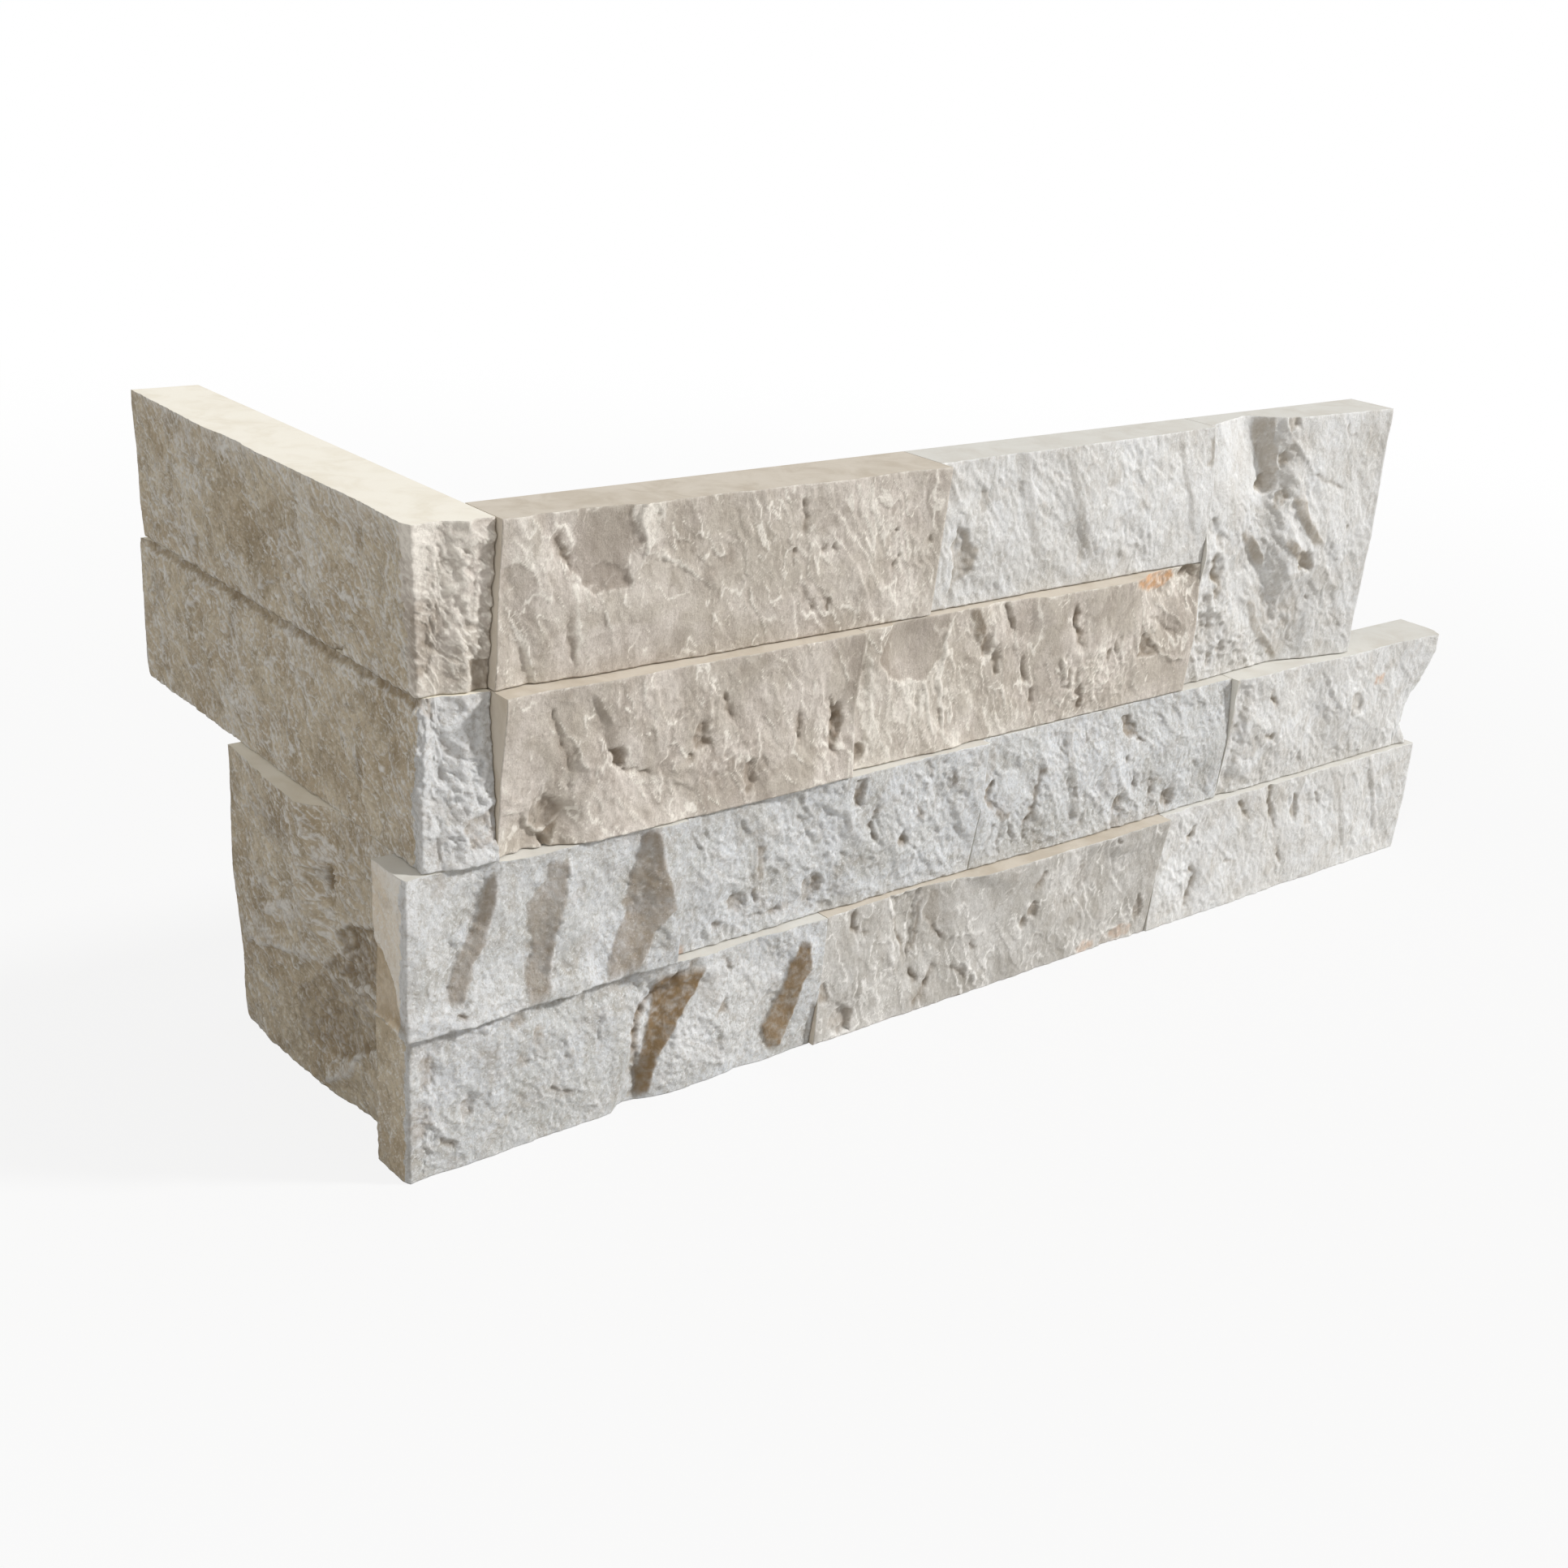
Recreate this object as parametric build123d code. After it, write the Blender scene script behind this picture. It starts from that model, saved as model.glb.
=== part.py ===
"""Ledger stone corner piece: split stone strips in four courses, joined into an L.

Lengths are millimetres, +Z is up. While it is modelled, the outer corner stands
at x = 0, y = 0: the long leg runs along +X with its split face towards -Y, and
the short leg runs along +Y with its split face towards -X. At the end the whole
piece is moved so that its origin is the middle of its own footprint.
"""
import os
from dataclasses import dataclass
from math import cos, radians, sin, tan

from build123d import *

# Courses and joints
course_height = 37.3
glue_joint = 0.3

# The two legs
long_leg_upper_length = 319.0
long_leg_lower_length = 364.0
short_leg_upper_length = 143.7
short_leg_lower_length = 90.0
long_leg_back = 13.6
short_leg_back = 17.0

# Places of the upright joints along the long leg, from the outer corner
top_course_joint = 139.0
tall_stone_joint = 243.0
second_course_joint = 116.0
third_course_joint_1 = 66.0
third_course_joint_2 = 164.0
third_course_joint_3 = 265.5
bottom_course_joint_1 = 113.0
bottom_course_joint_2 = 241.0

# How far the ends of the corner stones stand out past the short leg's face
third_course_end_proud = 5.2
bottom_course_end_proud = 4.6

# Split ends: how far the break runs back from the face, and its lean in degrees
top_return_end = 3.9
top_return_end_lean = -3.0
second_return_end = 2.0
second_return_end_lean = 7.5
second_return_far_lean = -6.0
third_course_end_over = 3.2

# The right end of the third course is broken hollow: its waist and its foot
third_course_end_waist = 6.0
third_course_end_waist_low = 0.16
third_course_end_waist_high = 0.40

# Stock that the saw and the splitter take away, past the finished faces
waste = 3.0

# A chip's rim has five corners, at these turns, and its lowest point lies off its middle
chip_rim = (12, 78, 151, 214, 292)
chip_skew = 0.22

# Small flakes follow two steps that never line up, so that they spread evenly
golden_step = 0.618
plastic_step = 0.755


@dataclass(frozen=True)
class Leg:
    """One leg of the corner: where it runs, which way its split face looks."""

    run: Vector
    outward: Vector

    def point(self, along, proud, height):
        """A point along the leg, standing proud of its face plane, at a height."""
        return self.run * along + self.outward * proud + Vector(0, 0, height)


long_leg = Leg(run=Vector(1, 0, 0), outward=Vector(0, -1, 0))
short_leg = Leg(run=Vector(0, 1, 0), outward=Vector(-1, 0, 0))


@dataclass(frozen=True)
class Station:
    """The split face's profile at one place along a stone.

    share is the place along the stone from 0 to 1, lean the slant of the profile
    in degrees, and the last three are how proud the face stands there.
    """

    share: float
    lean: float
    top: float
    middle: float
    bottom: float


@dataclass(frozen=True)
class Scar:
    """A shell-shaped hollow left by a flake: where it lies, how round, how deep."""

    share: float
    height: float
    radius: float
    bite: float


@dataclass(frozen=True)
class Chip:
    """A flat-sided chip struck out of the face.

    share and height place it, wide and tall are its size on the face, lean is its
    slant in degrees, and bite is how deep its lowest point lies.
    """

    share: float
    height: float
    wide: float
    tall: float
    lean: float
    bite: float


def flakes(count, lean, wide, bite):
    """Broad shallow chips spread evenly over a face, all struck along its grain."""
    return [
        Chip(
            share=0.04 + 0.92 * (i * golden_step % 1),
            height=0.14 + 0.72 * (i * plastic_step % 1),
            wide=wide * (0.75 + 0.5 * (i * 0.37 % 1)),
            tall=wide * (1.3 + 0.9 * (i * 0.71 % 1)),
            lean=lean,
            bite=bite * (0.75 + 0.5 * (i * 0.53 % 1)),
        )
        for i in range(1, count + 1)
    ]


def facet(*corners):
    """A flat facet between its corners."""
    return Face(Wire.make_polygon(corners, close=True))


def largest(shape):
    """The stone itself, without the splinters that a chip cuts free of it."""
    return max(shape.solids(), key=lambda solid: solid.volume)


@dataclass(frozen=True)
class Blank:
    """A sawn stone before its face is split: its leg, its ends and its beds."""

    leg: Leg
    start: float
    end: float
    low: float
    high: float
    back: float

    def along(self, share):
        return self.start + share * (self.end - self.start)

    def up(self, share):
        return self.low + share * (self.high - self.low)

    def sawn(self, proudest):
        """The block between the saw cuts, as deep as the proudest point needs."""
        corner_1 = self.leg.point(self.start, proudest, self.low)
        corner_2 = self.leg.point(self.end, -self.back, self.high)
        middle = (corner_1 + corner_2) / 2
        size = corner_2 - corner_1
        return Pos(*middle) * Box(abs(size.X), abs(size.Y), abs(size.Z))

    def profile(self, station):
        """The outline that one station cuts, with waste past the saw cuts."""
        along = self.along(station.share)
        if station.share == 0:
            along = along - waste
        if station.share == 1:
            along = along + waste
        middle = (self.low + self.high) / 2
        slope = tan(radians(station.lean))
        corners = [
            (-self.back - waste, self.low - waste),
            (station.bottom, self.low - waste),
            (station.bottom, self.low),
            (station.middle, middle),
            (station.top, self.high),
            (station.top, self.high + waste),
            (-self.back - waste, self.high + waste),
        ]
        return [
            self.leg.point(along + (height - middle) * slope, proud, height)
            for proud, height in corners
        ]

    def rough(self, stations):
        """The riven stone: flat facets between the outlines of its stations."""
        outlines = [self.profile(station) for station in stations]
        faces = [facet(*outlines[0]), facet(*outlines[-1])]
        for near, far in zip(outlines, outlines[1:]):
            for i in range(len(near)):
                a, b = near[i - 1], near[i]
                c, d = far[i - 1], far[i]
                faces.append(facet(a, b, d))
                faces.append(facet(a, d, c))
        return Solid(Shell(faces))

    def face_at(self, share, height, stations):
        """How proud the face stands at a place on the stone."""
        after = next(s for s in stations[1:] if share <= s.share)
        before = stations[stations.index(after) - 1]
        part = (share - before.share) / (after.share - before.share)
        middle = before.middle + part * (after.middle - before.middle)
        if height > 0.5:
            edge = before.top + part * (after.top - before.top)
        else:
            edge = before.bottom + part * (after.bottom - before.bottom)
        return middle + abs(2 * height - 1) * (edge - middle)

    def chip_cutter(self, chip, face):
        """The pointed wedge that a chip takes out, deepest towards its far side."""
        growth = (chip.bite + waste) / chip.bite
        along, up = self.along(chip.share), self.up(chip.height)
        slope = tan(radians(chip.lean))
        rim = []
        for turn in chip_rim:
            across = cos(radians(turn)) * chip.wide / 2 * growth
            rise = sin(radians(turn)) * chip.tall / 2 * growth
            rim.append(self.leg.point(along + across + rise * slope, face + waste, up + rise))
        deepest = self.leg.point(along + chip.wide * chip_skew, face - chip.bite, up)
        sides = [facet(rim[i - 1], rim[i], deepest) for i in range(len(rim))]
        return Solid(Shell([facet(*rim)] + sides))

    def hollow_end(self, waist, waist_low, waist_high, foot):
        """What a hollow break takes off the far end: a waist between two corners."""
        past = self.end + waste
        outline = [
            (foot, self.low),
            (waist, self.up(waist_low)),
            (waist, self.up(waist_high)),
            (self.end, self.high),
            (past, self.high + waste),
            (past, self.low - waste),
            (foot, self.low - waste),
        ]
        side = facet(*[self.leg.point(along, -self.back - waste, z) for along, z in outline])
        return extrude(side, amount=self.back + 4 * waste, dir=self.leg.outward)

    def split(self, stations, scars=(), chips=()):
        """The finished stone: sawn block, split face, flake scars and chips."""
        proudest = max(max(s.top, s.middle, s.bottom) for s in stations) + waste
        stone = self.sawn(proudest) & self.rough(stations)
        cutters = []
        for scar in scars:
            face = self.face_at(scar.share, scar.height, stations)
            centre = self.leg.point(
                self.along(scar.share),
                face + scar.radius - scar.bite,
                self.up(scar.height),
            )
            cutters.append(Pos(*centre) * Sphere(scar.radius))
        for chip in chips:
            face = self.face_at(chip.share, chip.height, stations)
            cutters.append(self.chip_cutter(chip, face))
        if cutters:
            stone = stone - cutters
        return largest(stone)


def break_end(stone, leg, along, height, lean, keep_far):
    """Breaks a stone's end off along a plane that leans along the leg."""
    up = Vector(0, 0, 1) + leg.run * tan(radians(lean))
    across = leg.outward.cross(up)
    keep = Keep.TOP if across.dot(leg.run) * (1 if keep_far else -1) > 0 else Keep.BOTTOM
    cut = Plane(origin=leg.point(along, 0, height), z_dir=across)
    return split(stone, bisect_by=cut, keep=keep)


# Beds of the four courses, counted from the top
pitch = course_height + glue_joint
bottom_bed = 0.0
third_bed = bottom_bed + pitch
second_bed = bottom_bed + 2 * pitch
top_bed = bottom_bed + 3 * pitch
panel_top = top_bed + course_height
butt = short_leg_back + glue_joint


def long_stone(start, end, low, high):
    return Blank(long_leg, start, end, low, high, long_leg_back)


def short_stone(start, end, low, high):
    return Blank(short_leg, start, end, low, high, short_leg_back)


# Top course of the long leg
blank = long_stone(butt, top_course_joint, top_bed, panel_top)
top_left_stone = blank.split(
    [
        Station(0.00, 0, 1.6, 1.6, -1.2),
        Station(0.13, -8, 1.2, 0.4, -1.0),
        Station(0.20, 14, 3.5, 2.4, -0.4),
        Station(0.52, 14, 3.9, 3.4, 0.4),
        Station(0.80, 4, 4.2, 4.0, 1.0),
        Station(1.00, 0, 4.6, 3.2, 1.4),
    ],
    scars=[Scar(0.21, 0.75, 26, 1.3)],
    chips=[
        Chip(0.03, 0.2, 14, 34, -12, 1.4),
        Chip(0.12, 0.76, 4, 14, -25, 1.2),
        Chip(0.35, 0.32, 22, 30, -10, 0.8),
        Chip(0.55, 0.36, 26, 34, -8, 0.9),
        Chip(0.65, 0.76, 3.5, 12, 0, 0.9),
        Chip(0.69, 0.2, 6, 7, 0, 0.9),
        Chip(0.88, 0.42, 7, 13, 10, 1.3),
        Chip(0.78, 0.72, 20, 20, -12, 0.7),
    ]
    + flakes(10, lean=-14, wide=12, bite=0.8),
)

blank = long_stone(top_course_joint + glue_joint, tall_stone_joint, top_bed, panel_top)
top_middle_stone = blank.split(
    [
        Station(0.00, 0, 0.2, 1.4, -0.5),
        Station(0.12, 6, -0.2, 0.6, -0.8),
        Station(0.45, -10, -0.4, 1.5, -1.0),
        Station(0.75, -8, -0.8, 0.9, -1.0),
        Station(1.00, 0, -2.2, 0.3, -0.5),
    ],
    chips=[
        Chip(0.09, 0.38, 9, 16, -15, 1.2),
        Chip(0.14, 0.74, 5, 8, 0, 0.8),
        Chip(0.3, 0.5, 16, 34, -22, 0.8),
        Chip(0.47, 0.55, 14, 30, -22, 0.7),
        Chip(0.64, 0.38, 12, 20, -10, 0.8),
        Chip(0.85, 0.62, 14, 28, -15, 0.8),
    ]
    + flakes(10, lean=-30, wide=9, bite=0.8),
)

blank = long_stone(tall_stone_joint + glue_joint, long_leg_upper_length, second_bed, panel_top)
tall_stone = blank.split(
    [
        Station(0.00, 0, -2.8, 1.2, -4.2),
        Station(0.16, -8, -5.6, 2.4, -4.2),
        Station(0.40, -14, -9.6, 0.4, -5.6),
        Station(0.52, -10, -1.2, 2.8, -5.8),
        Station(0.72, -8, -0.6, 2.2, -2.2),
        Station(1.00, 0, 1.6, 1.8, 1.1),
    ],
    chips=[
        Chip(0.085, 0.45, 4.5, 18, -8, 1.8),
        Chip(0.28, 0.77, 12, 10, 0, 1.6),
        Chip(0.37, 0.86, 9, 9, 0, 1.3),
        Chip(0.51, 0.58, 8, 26, -38, 1.9),
        Chip(0.59, 0.42, 9, 9, -30, 1.6),
        Chip(0.25, 0.5, 6, 17, -40, 1.3),
        Chip(0.08, 0.20, 12, 18, 0, 1.2),
        Chip(0.36, 0.2, 9, 28, -38, 1.4),
        Chip(0.78, 0.82, 18, 26, -15, 0.8),
        Chip(0.8, 0.4, 20, 34, -15, 0.8),
    ]
    + flakes(12, lean=-30, wide=11, bite=0.9),
)

# Second course of the long leg
blank = long_stone(butt, second_course_joint, second_bed, second_bed + course_height)
second_left_stone = blank.split(
    [
        Station(0.00, 0, 4.2, 1.6, 0.6),
        Station(0.10, -14, 4.4, 1.2, 0.2),
        Station(0.17, -14, 4.5, 3.8, 4.2),
        Station(0.55, -10, 4.6, 3.2, 4.0),
        Station(0.80, -6, 4.5, 3.6, 3.8),
        Station(1.00, 0, 4.4, 2.2, 3.4),
    ],
    chips=[
        Chip(0.06, 0.12, 16, 17, 20, 1.9),
        Chip(0.24, 0.68, 7, 22, -25, 1.7),
        Chip(0.29, 0.45, 5.5, 8, 0, 1.7),
        Chip(0.4, 0.75, 20, 22, -12, 0.7),
        Chip(0.52, 0.45, 9, 9, 0, 1.5),
        Chip(0.6, 0.62, 5, 11, -22, 1.1),
        Chip(0.67, 0.16, 11, 10, 0, 1.3),
        Chip(0.945, 0.42, 6, 21, -5, 2.1),
    ]
    + flakes(8, lean=-18, wide=10, bite=0.8),
)

blank = long_stone(
    second_course_joint + glue_joint, tall_stone_joint, second_bed, second_bed + course_height
)
second_right_stone = blank.split(
    [
        Station(0.00, 0, 2.6, 0.8, -0.4),
        Station(0.22, 10, 3.6, 1.2, 0.0),
        Station(0.29, 10, 3.0, 3.4, 1.4),
        Station(0.34, 8, 0.2, 0.8, -0.4),
        Station(0.52, 0, 4.2, 2.2, -0.6),
        Station(0.76, 4, 4.3, 3.2, -0.5),
        Station(0.83, 4, -0.2, 1.8, -0.5),
        Station(1.00, 0, -0.5, 1.0, -0.5),
    ],
    scars=[Scar(0.13, 0.78, 24, 1.9)],
    chips=[
        Chip(0.3, 0.8, 6, 15, -25, 1.5),
        Chip(0.35, 0.62, 9, 11, 0, 1.3),
        Chip(0.39, 0.84, 6, 12, -30, 1.3),
        Chip(0.45, 0.48, 8, 11, -15, 1.3),
        Chip(0.49, 0.25, 6, 7, 0, 1.0),
        Chip(0.62, 0.7, 5, 18, -22, 1.7),
        Chip(0.71, 0.25, 20, 18, 0, 1.2),
        Chip(0.82, 0.43, 11, 11, 0, 1.6),
        Chip(0.93, 0.92, 13, 9, 0, 1.6),
        Chip(0.22, 0.25, 16, 20, -15, 0.9),
    ]
    + flakes(10, lean=-18, wide=10, bite=0.8),
)

# Third course of the long leg: its corner stone shows its end on the short leg
blank = long_stone(
    -third_course_end_proud, third_course_joint_1, third_bed, third_bed + course_height
)
third_corner_stone = blank.split(
    [
        Station(0.00, 0, 0.0, 4.6, 2.2),
        Station(0.22, 14, -0.2, 1.2, 1.8),
        Station(0.28, 14, 3.6, 3.6, 2.8),
        Station(0.48, 10, 2.8, 0.8, 1.4),
        Station(0.55, 10, 4.3, 3.6, 3.0),
        Station(0.74, 12, 3.0, 0.2, 0.4),
        Station(0.90, 8, 4.3, 4.4, 3.0),
        Station(1.00, 0, 3.9, 3.4, 2.6),
    ],
    chips=[
        Chip(0.8, 0.42, 9, 16, -15, 1.3),
        Chip(0.13, 0.62, 12, 22, -20, 0.8),
        Chip(0.4, 0.35, 10, 20, -12, 0.9),
    ]
    + flakes(6, lean=-20, wide=8, bite=0.7),
)

blank = long_stone(
    third_course_joint_1 + glue_joint,
    third_course_joint_2,
    third_bed,
    third_bed + course_height,
)
third_left_stone = blank.split(
    [
        Station(0.00, 0, 3.8, 2.4, -1.2),
        Station(0.14, 8, 3.6, 2.8, -1.0),
        Station(0.30, 4, 3.0, 1.0, -1.2),
        Station(0.60, -4, 2.6, 2.4, -1.2),
        Station(1.00, 0, 2.4, 1.6, -1.2),
    ],
    chips=[
        Chip(0.1, 0.58, 18, 28, -20, 0.8),
        Chip(0.17, 0.27, 9, 9, 0, 1.3),
        Chip(0.24, 0.5, 5, 17, 0, 1.4),
        Chip(0.4, 0.26, 11, 10, 0, 1.3),
        Chip(0.54, 0.84, 5, 10, 0, 1.3),
        Chip(0.6, 0.55, 6, 15, -8, 1.2),
        Chip(0.72, 0.4, 6, 7, 0, 1.1),
        Chip(0.8, 0.8, 10, 14, -20, 1.0),
    ]
    + flakes(10, lean=-25, wide=9, bite=0.9),
)

blank = long_stone(
    third_course_joint_2 + glue_joint,
    third_course_joint_3,
    third_bed,
    third_bed + course_height,
)
third_right_stone = blank.split(
    [
        Station(0.00, 0, -0.4, 1.4, -1.2),
        Station(0.12, -8, -0.4, 1.4, -0.6),
        Station(0.24, -8, -0.4, 2.6, -0.2),
        Station(0.50, -6, -0.5, 2.4, -0.3),
        Station(0.60, 8, -0.8, 0.8, -0.3),
        Station(0.82, 0, -0.5, 2.0, -0.3),
        Station(1.00, 0, -1.0, 0.4, -0.8),
    ],
    chips=[
        Chip(0.07, 0.45, 9, 16, -40, 1.5),
        Chip(0.2, 0.42, 5, 24, 15, 1.2),
        Chip(0.37, 0.42, 8, 18, -20, 0.9),
        Chip(0.54, 0.18, 7, 12, 0, 1.3),
        Chip(0.56, 0.82, 12, 8, -40, 1.6),
        Chip(0.67, 0.3, 6, 10, 0, 1.0),
        Chip(0.76, 0.17, 7, 8, 0, 1.2),
        Chip(0.88, 0.6, 12, 22, -20, 0.8),
    ]
    + flakes(10, lean=-28, wide=9, bite=0.9),
)

blank = long_stone(
    third_course_joint_3 + glue_joint,
    long_leg_lower_length + third_course_end_over,
    third_bed,
    third_bed + course_height,
)
third_end_stone = blank.split(
    [
        Station(0.00, 0, 1.9, 1.2, -0.8),
        Station(0.20, -8, 2.2, 2.2, -0.8),
        Station(0.55, -10, 2.8, 1.6, -0.8),
        Station(0.80, 0, 2.8, 2.4, -0.8),
        Station(1.00, 0, 2.4, 1.8, -0.6),
    ],
    chips=[
        Chip(0.03, 0.88, 8, 10, 0, 1.5),
        Chip(0.19, 0.74, 5, 10, -40, 1.4),
        Chip(0.19, 0.45, 7, 5, 0, 1.1),
        Chip(0.45, 0.6, 16, 22, -40, 0.9),
        Chip(0.62, 0.5, 9, 11, 0, 1.4),
        Chip(0.8, 0.55, 18, 26, -20, 0.8),
    ]
    + flakes(9, lean=-35, wide=10, bite=0.8),
)
third_end_stone = third_end_stone - blank.hollow_end(
    long_leg_lower_length - third_course_end_waist,
    third_course_end_waist_low,
    third_course_end_waist_high,
    long_leg_lower_length,
)

# Bottom course of the long leg
blank = long_stone(
    -bottom_course_end_proud, bottom_course_joint_1, bottom_bed, bottom_bed + course_height
)
bottom_corner_stone = blank.split(
    [
        Station(0.00, 0, 2.3, 0.4, -1.2),
        Station(0.16, 10, 2.5, 2.0, -0.4),
        Station(0.42, 14, 2.6, 1.6, -0.8),
        Station(0.535, 20, 2.4, 1.4, -1.0),
        Station(0.56, 20, 1.4, -2.4, -4.4),
        Station(0.67, 20, 1.8, 2.0, -1.0),
        Station(0.83, 20, 1.9, 1.6, -1.4),
        Station(0.86, 20, 1.4, -1.0, -2.4),
        Station(0.91, 18, 1.9, 1.6, -1.2),
        Station(1.00, 0, 1.9, 1.0, -2.1),
    ],
    chips=[
        Chip(0.04, 0.7, 8, 13, 0, 1.2),
        Chip(0.12, 0.42, 8, 10, 0, 1.2),
        Chip(0.25, 0.66, 9, 9, 0, 1.2),
        Chip(0.34, 0.3, 8, 11, -40, 1.1),
        Chip(0.43, 0.62, 12, 20, -20, 0.8),
        Chip(0.72, 0.55, 7, 9, 0, 1.0),
    ]
    + flakes(10, lean=-25, wide=10, bite=0.8),
)

blank = long_stone(
    bottom_course_joint_1 + glue_joint,
    bottom_course_joint_2,
    bottom_bed,
    bottom_bed + course_height,
)
bottom_middle_stone = blank.split(
    [
        Station(0.00, 0, 1.6, 0.0, -0.4),
        Station(0.08, 0, 2.0, 1.2, -0.2),
        Station(0.13, -10, 0.4, 1.4, -0.2),
        Station(0.18, 0, 3.9, 2.2, -0.2),
        Station(0.25, 10, 3.9, -1.0, -0.2),
        Station(0.33, 12, 3.9, 3.2, -0.2),
        Station(0.60, 10, 4.4, 3.8, -0.2),
        Station(0.78, 6, 4.4, 2.0, -0.2),
        Station(1.00, 0, 4.2, 1.2, -0.2),
    ],
    chips=[
        Chip(0.02, 0.4, 7, 9, 0, 1.3),
        Chip(0.06, 0.16, 15, 12, 0, 1.8),
        Chip(0.22, 0.72, 13, 22, 0, 1.7),
        Chip(0.25, 0.32, 5, 11, -35, 1.3),
        Chip(0.295, 0.17, 5, 14, 30, 1.3),
        Chip(0.32, 0.62, 5, 9, -40, 1.4),
        Chip(0.42, 0.22, 13, 15, -40, 0.9),
        Chip(0.6, 0.72, 7, 9, 40, 1.4),
        Chip(0.57, 0.48, 8, 9, 0, 1.2),
        Chip(0.72, 0.66, 9, 13, 0, 1.1),
        Chip(0.87, 0.12, 17, 9, 0, 1.3),
    ]
    + flakes(10, lean=-20, wide=11, bite=0.8),
)

blank = long_stone(
    bottom_course_joint_2 + glue_joint, long_leg_lower_length, bottom_bed, bottom_bed + course_height
)
bottom_end_stone = blank.split(
    [
        Station(0.00, 0, 0.8, 1.2, 0.5),
        Station(0.12, 8, 1.0, -0.2, 0.5),
        Station(0.30, -8, 1.2, 1.8, 0.5),
        Station(0.48, -8, 1.4, 0.6, 0.5),
        Station(0.66, -8, 1.4, 2.0, 0.5),
        Station(1.00, 0, 1.2, 1.4, 0.5),
    ],
    chips=[
        Chip(0.11, 0.76, 5, 10, 0, 1.2),
        Chip(0.14, 0.28, 6, 19, 0, 1.4),
        Chip(0.3, 0.82, 5, 11, -38, 1.0),
        Chip(0.42, 0.74, 5.5, 18, -15, 1.4),
        Chip(0.46, 0.3, 5, 10, -25, 1.0),
        Chip(0.51, 0.7, 6, 12, 0, 1.1),
        Chip(0.71, 0.58, 18, 30, -25, 0.8),
        Chip(0.88, 0.42, 16, 26, -25, 0.7),
    ]
    + flakes(10, lean=-28, wide=11, bite=0.8),
)

# Upper two courses of the short leg: their split ends show on the long leg's face
blank = short_stone(0, short_leg_upper_length, top_bed, panel_top)
top_return_strip = blank.split(
    [
        Station(0.00, 0, 3.1, 1.6, -0.5),
        Station(0.22, 4, 2.0, 1.2, -0.5),
        Station(0.46, 6, 1.9, 2.2, -0.4),
        Station(0.74, 6, 1.8, 1.2, -0.6),
        Station(1.00, 0, 0.4, 0.4, -1.1),
    ],
    chips=[
        Chip(0.14, 0.5, 20, 26, 20, 0.8),
        Chip(0.27, 0.08, 8, 8, 0, 1.4),
        Chip(0.48, 0.22, 14, 9, 0, 1.0),
        Chip(0.62, 0.6, 30, 26, 20, 0.8),
        Chip(0.82, 0.4, 24, 24, 20, 0.7),
    ]
    + flakes(11, lean=25, wide=13, bite=0.7),
)
top_return_strip = break_end(
    top_return_strip,
    short_leg,
    top_return_end,
    top_bed + course_height / 2,
    top_return_end_lean,
    keep_far=True,
)

blank = short_stone(
    -waste, short_leg_upper_length, second_bed, second_bed + course_height
)
second_return_strip = blank.split(
    [
        Station(0.00, 0, -0.5, 0.8, 0.0),
        Station(0.20, 6, -0.5, 1.4, 0.0),
        Station(0.45, 6, -0.4, 0.8, -0.1),
        Station(0.72, 6, -0.4, 1.8, -0.3),
        Station(1.00, 0, -0.5, 0.4, -0.8),
    ],
    chips=[
        Chip(0.22, 0.5, 26, 26, 20, 0.8),
        Chip(0.45, 0.74, 13, 10, 30, 1.0),
        Chip(0.6, 0.42, 26, 24, 20, 0.7),
        Chip(0.77, 0.76, 15, 9, 30, 1.0),
    ]
    + flakes(11, lean=25, wide=13, bite=0.7),
)
second_return_strip = break_end(
    second_return_strip,
    short_leg,
    second_return_end,
    second_bed + course_height / 2,
    second_return_end_lean,
    keep_far=True,
)
second_return_strip = break_end(
    second_return_strip,
    short_leg,
    short_leg_upper_length,
    second_bed,
    second_return_far_lean,
    keep_far=False,
)

# Lower two courses of the short leg are one tall rough block
blank = short_stone(
    long_leg_back + glue_joint, short_leg_lower_length, bottom_bed, second_bed - glue_joint
)
return_block = blank.split(
    [
        Station(0.00, 0, -0.4, 0.6, -3.2),
        Station(0.26, 6, -0.6, -0.6, -3.0),
        Station(0.35, 6, 0.4, 2.0, -2.0),
        Station(0.42, 6, 6.6, 3.8, -0.6),
        Station(0.68, 4, 4.8, 3.4, 0.6),
        Station(1.00, 0, 2.4, 2.8, 0.0),
    ],
    chips=[
        Chip(0.16, 0.7, 16, 32, 10, 1.7),
        Chip(0.24, 0.6, 9, 10, 0, 2.0),
        Chip(0.25, 0.46, 8, 8, 0, 1.8),
        Chip(0.3, 0.24, 22, 26, 20, 1.6),
        Chip(0.38, 0.72, 8, 11, 0, 2.0),
        Chip(0.58, 0.42, 22, 16, 40, 1.7),
        Chip(0.76, 0.18, 24, 18, 0, 1.3),
        Chip(0.82, 0.72, 24, 26, 20, 0.9),
    ]
    + flakes(10, lean=20, wide=14, bite=1.0),
)

stones = {
    "top_left_stone": top_left_stone,
    "top_middle_stone": top_middle_stone,
    "tall_stone": tall_stone,
    "second_left_stone": second_left_stone,
    "second_right_stone": second_right_stone,
    "third_corner_stone": third_corner_stone,
    "third_left_stone": third_left_stone,
    "third_right_stone": third_right_stone,
    "third_end_stone": third_end_stone,
    "bottom_corner_stone": bottom_corner_stone,
    "bottom_middle_stone": bottom_middle_stone,
    "bottom_end_stone": bottom_end_stone,
    "top_return_strip": top_return_strip,
    "second_return_strip": second_return_strip,
    "return_block": return_block,
}

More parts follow.
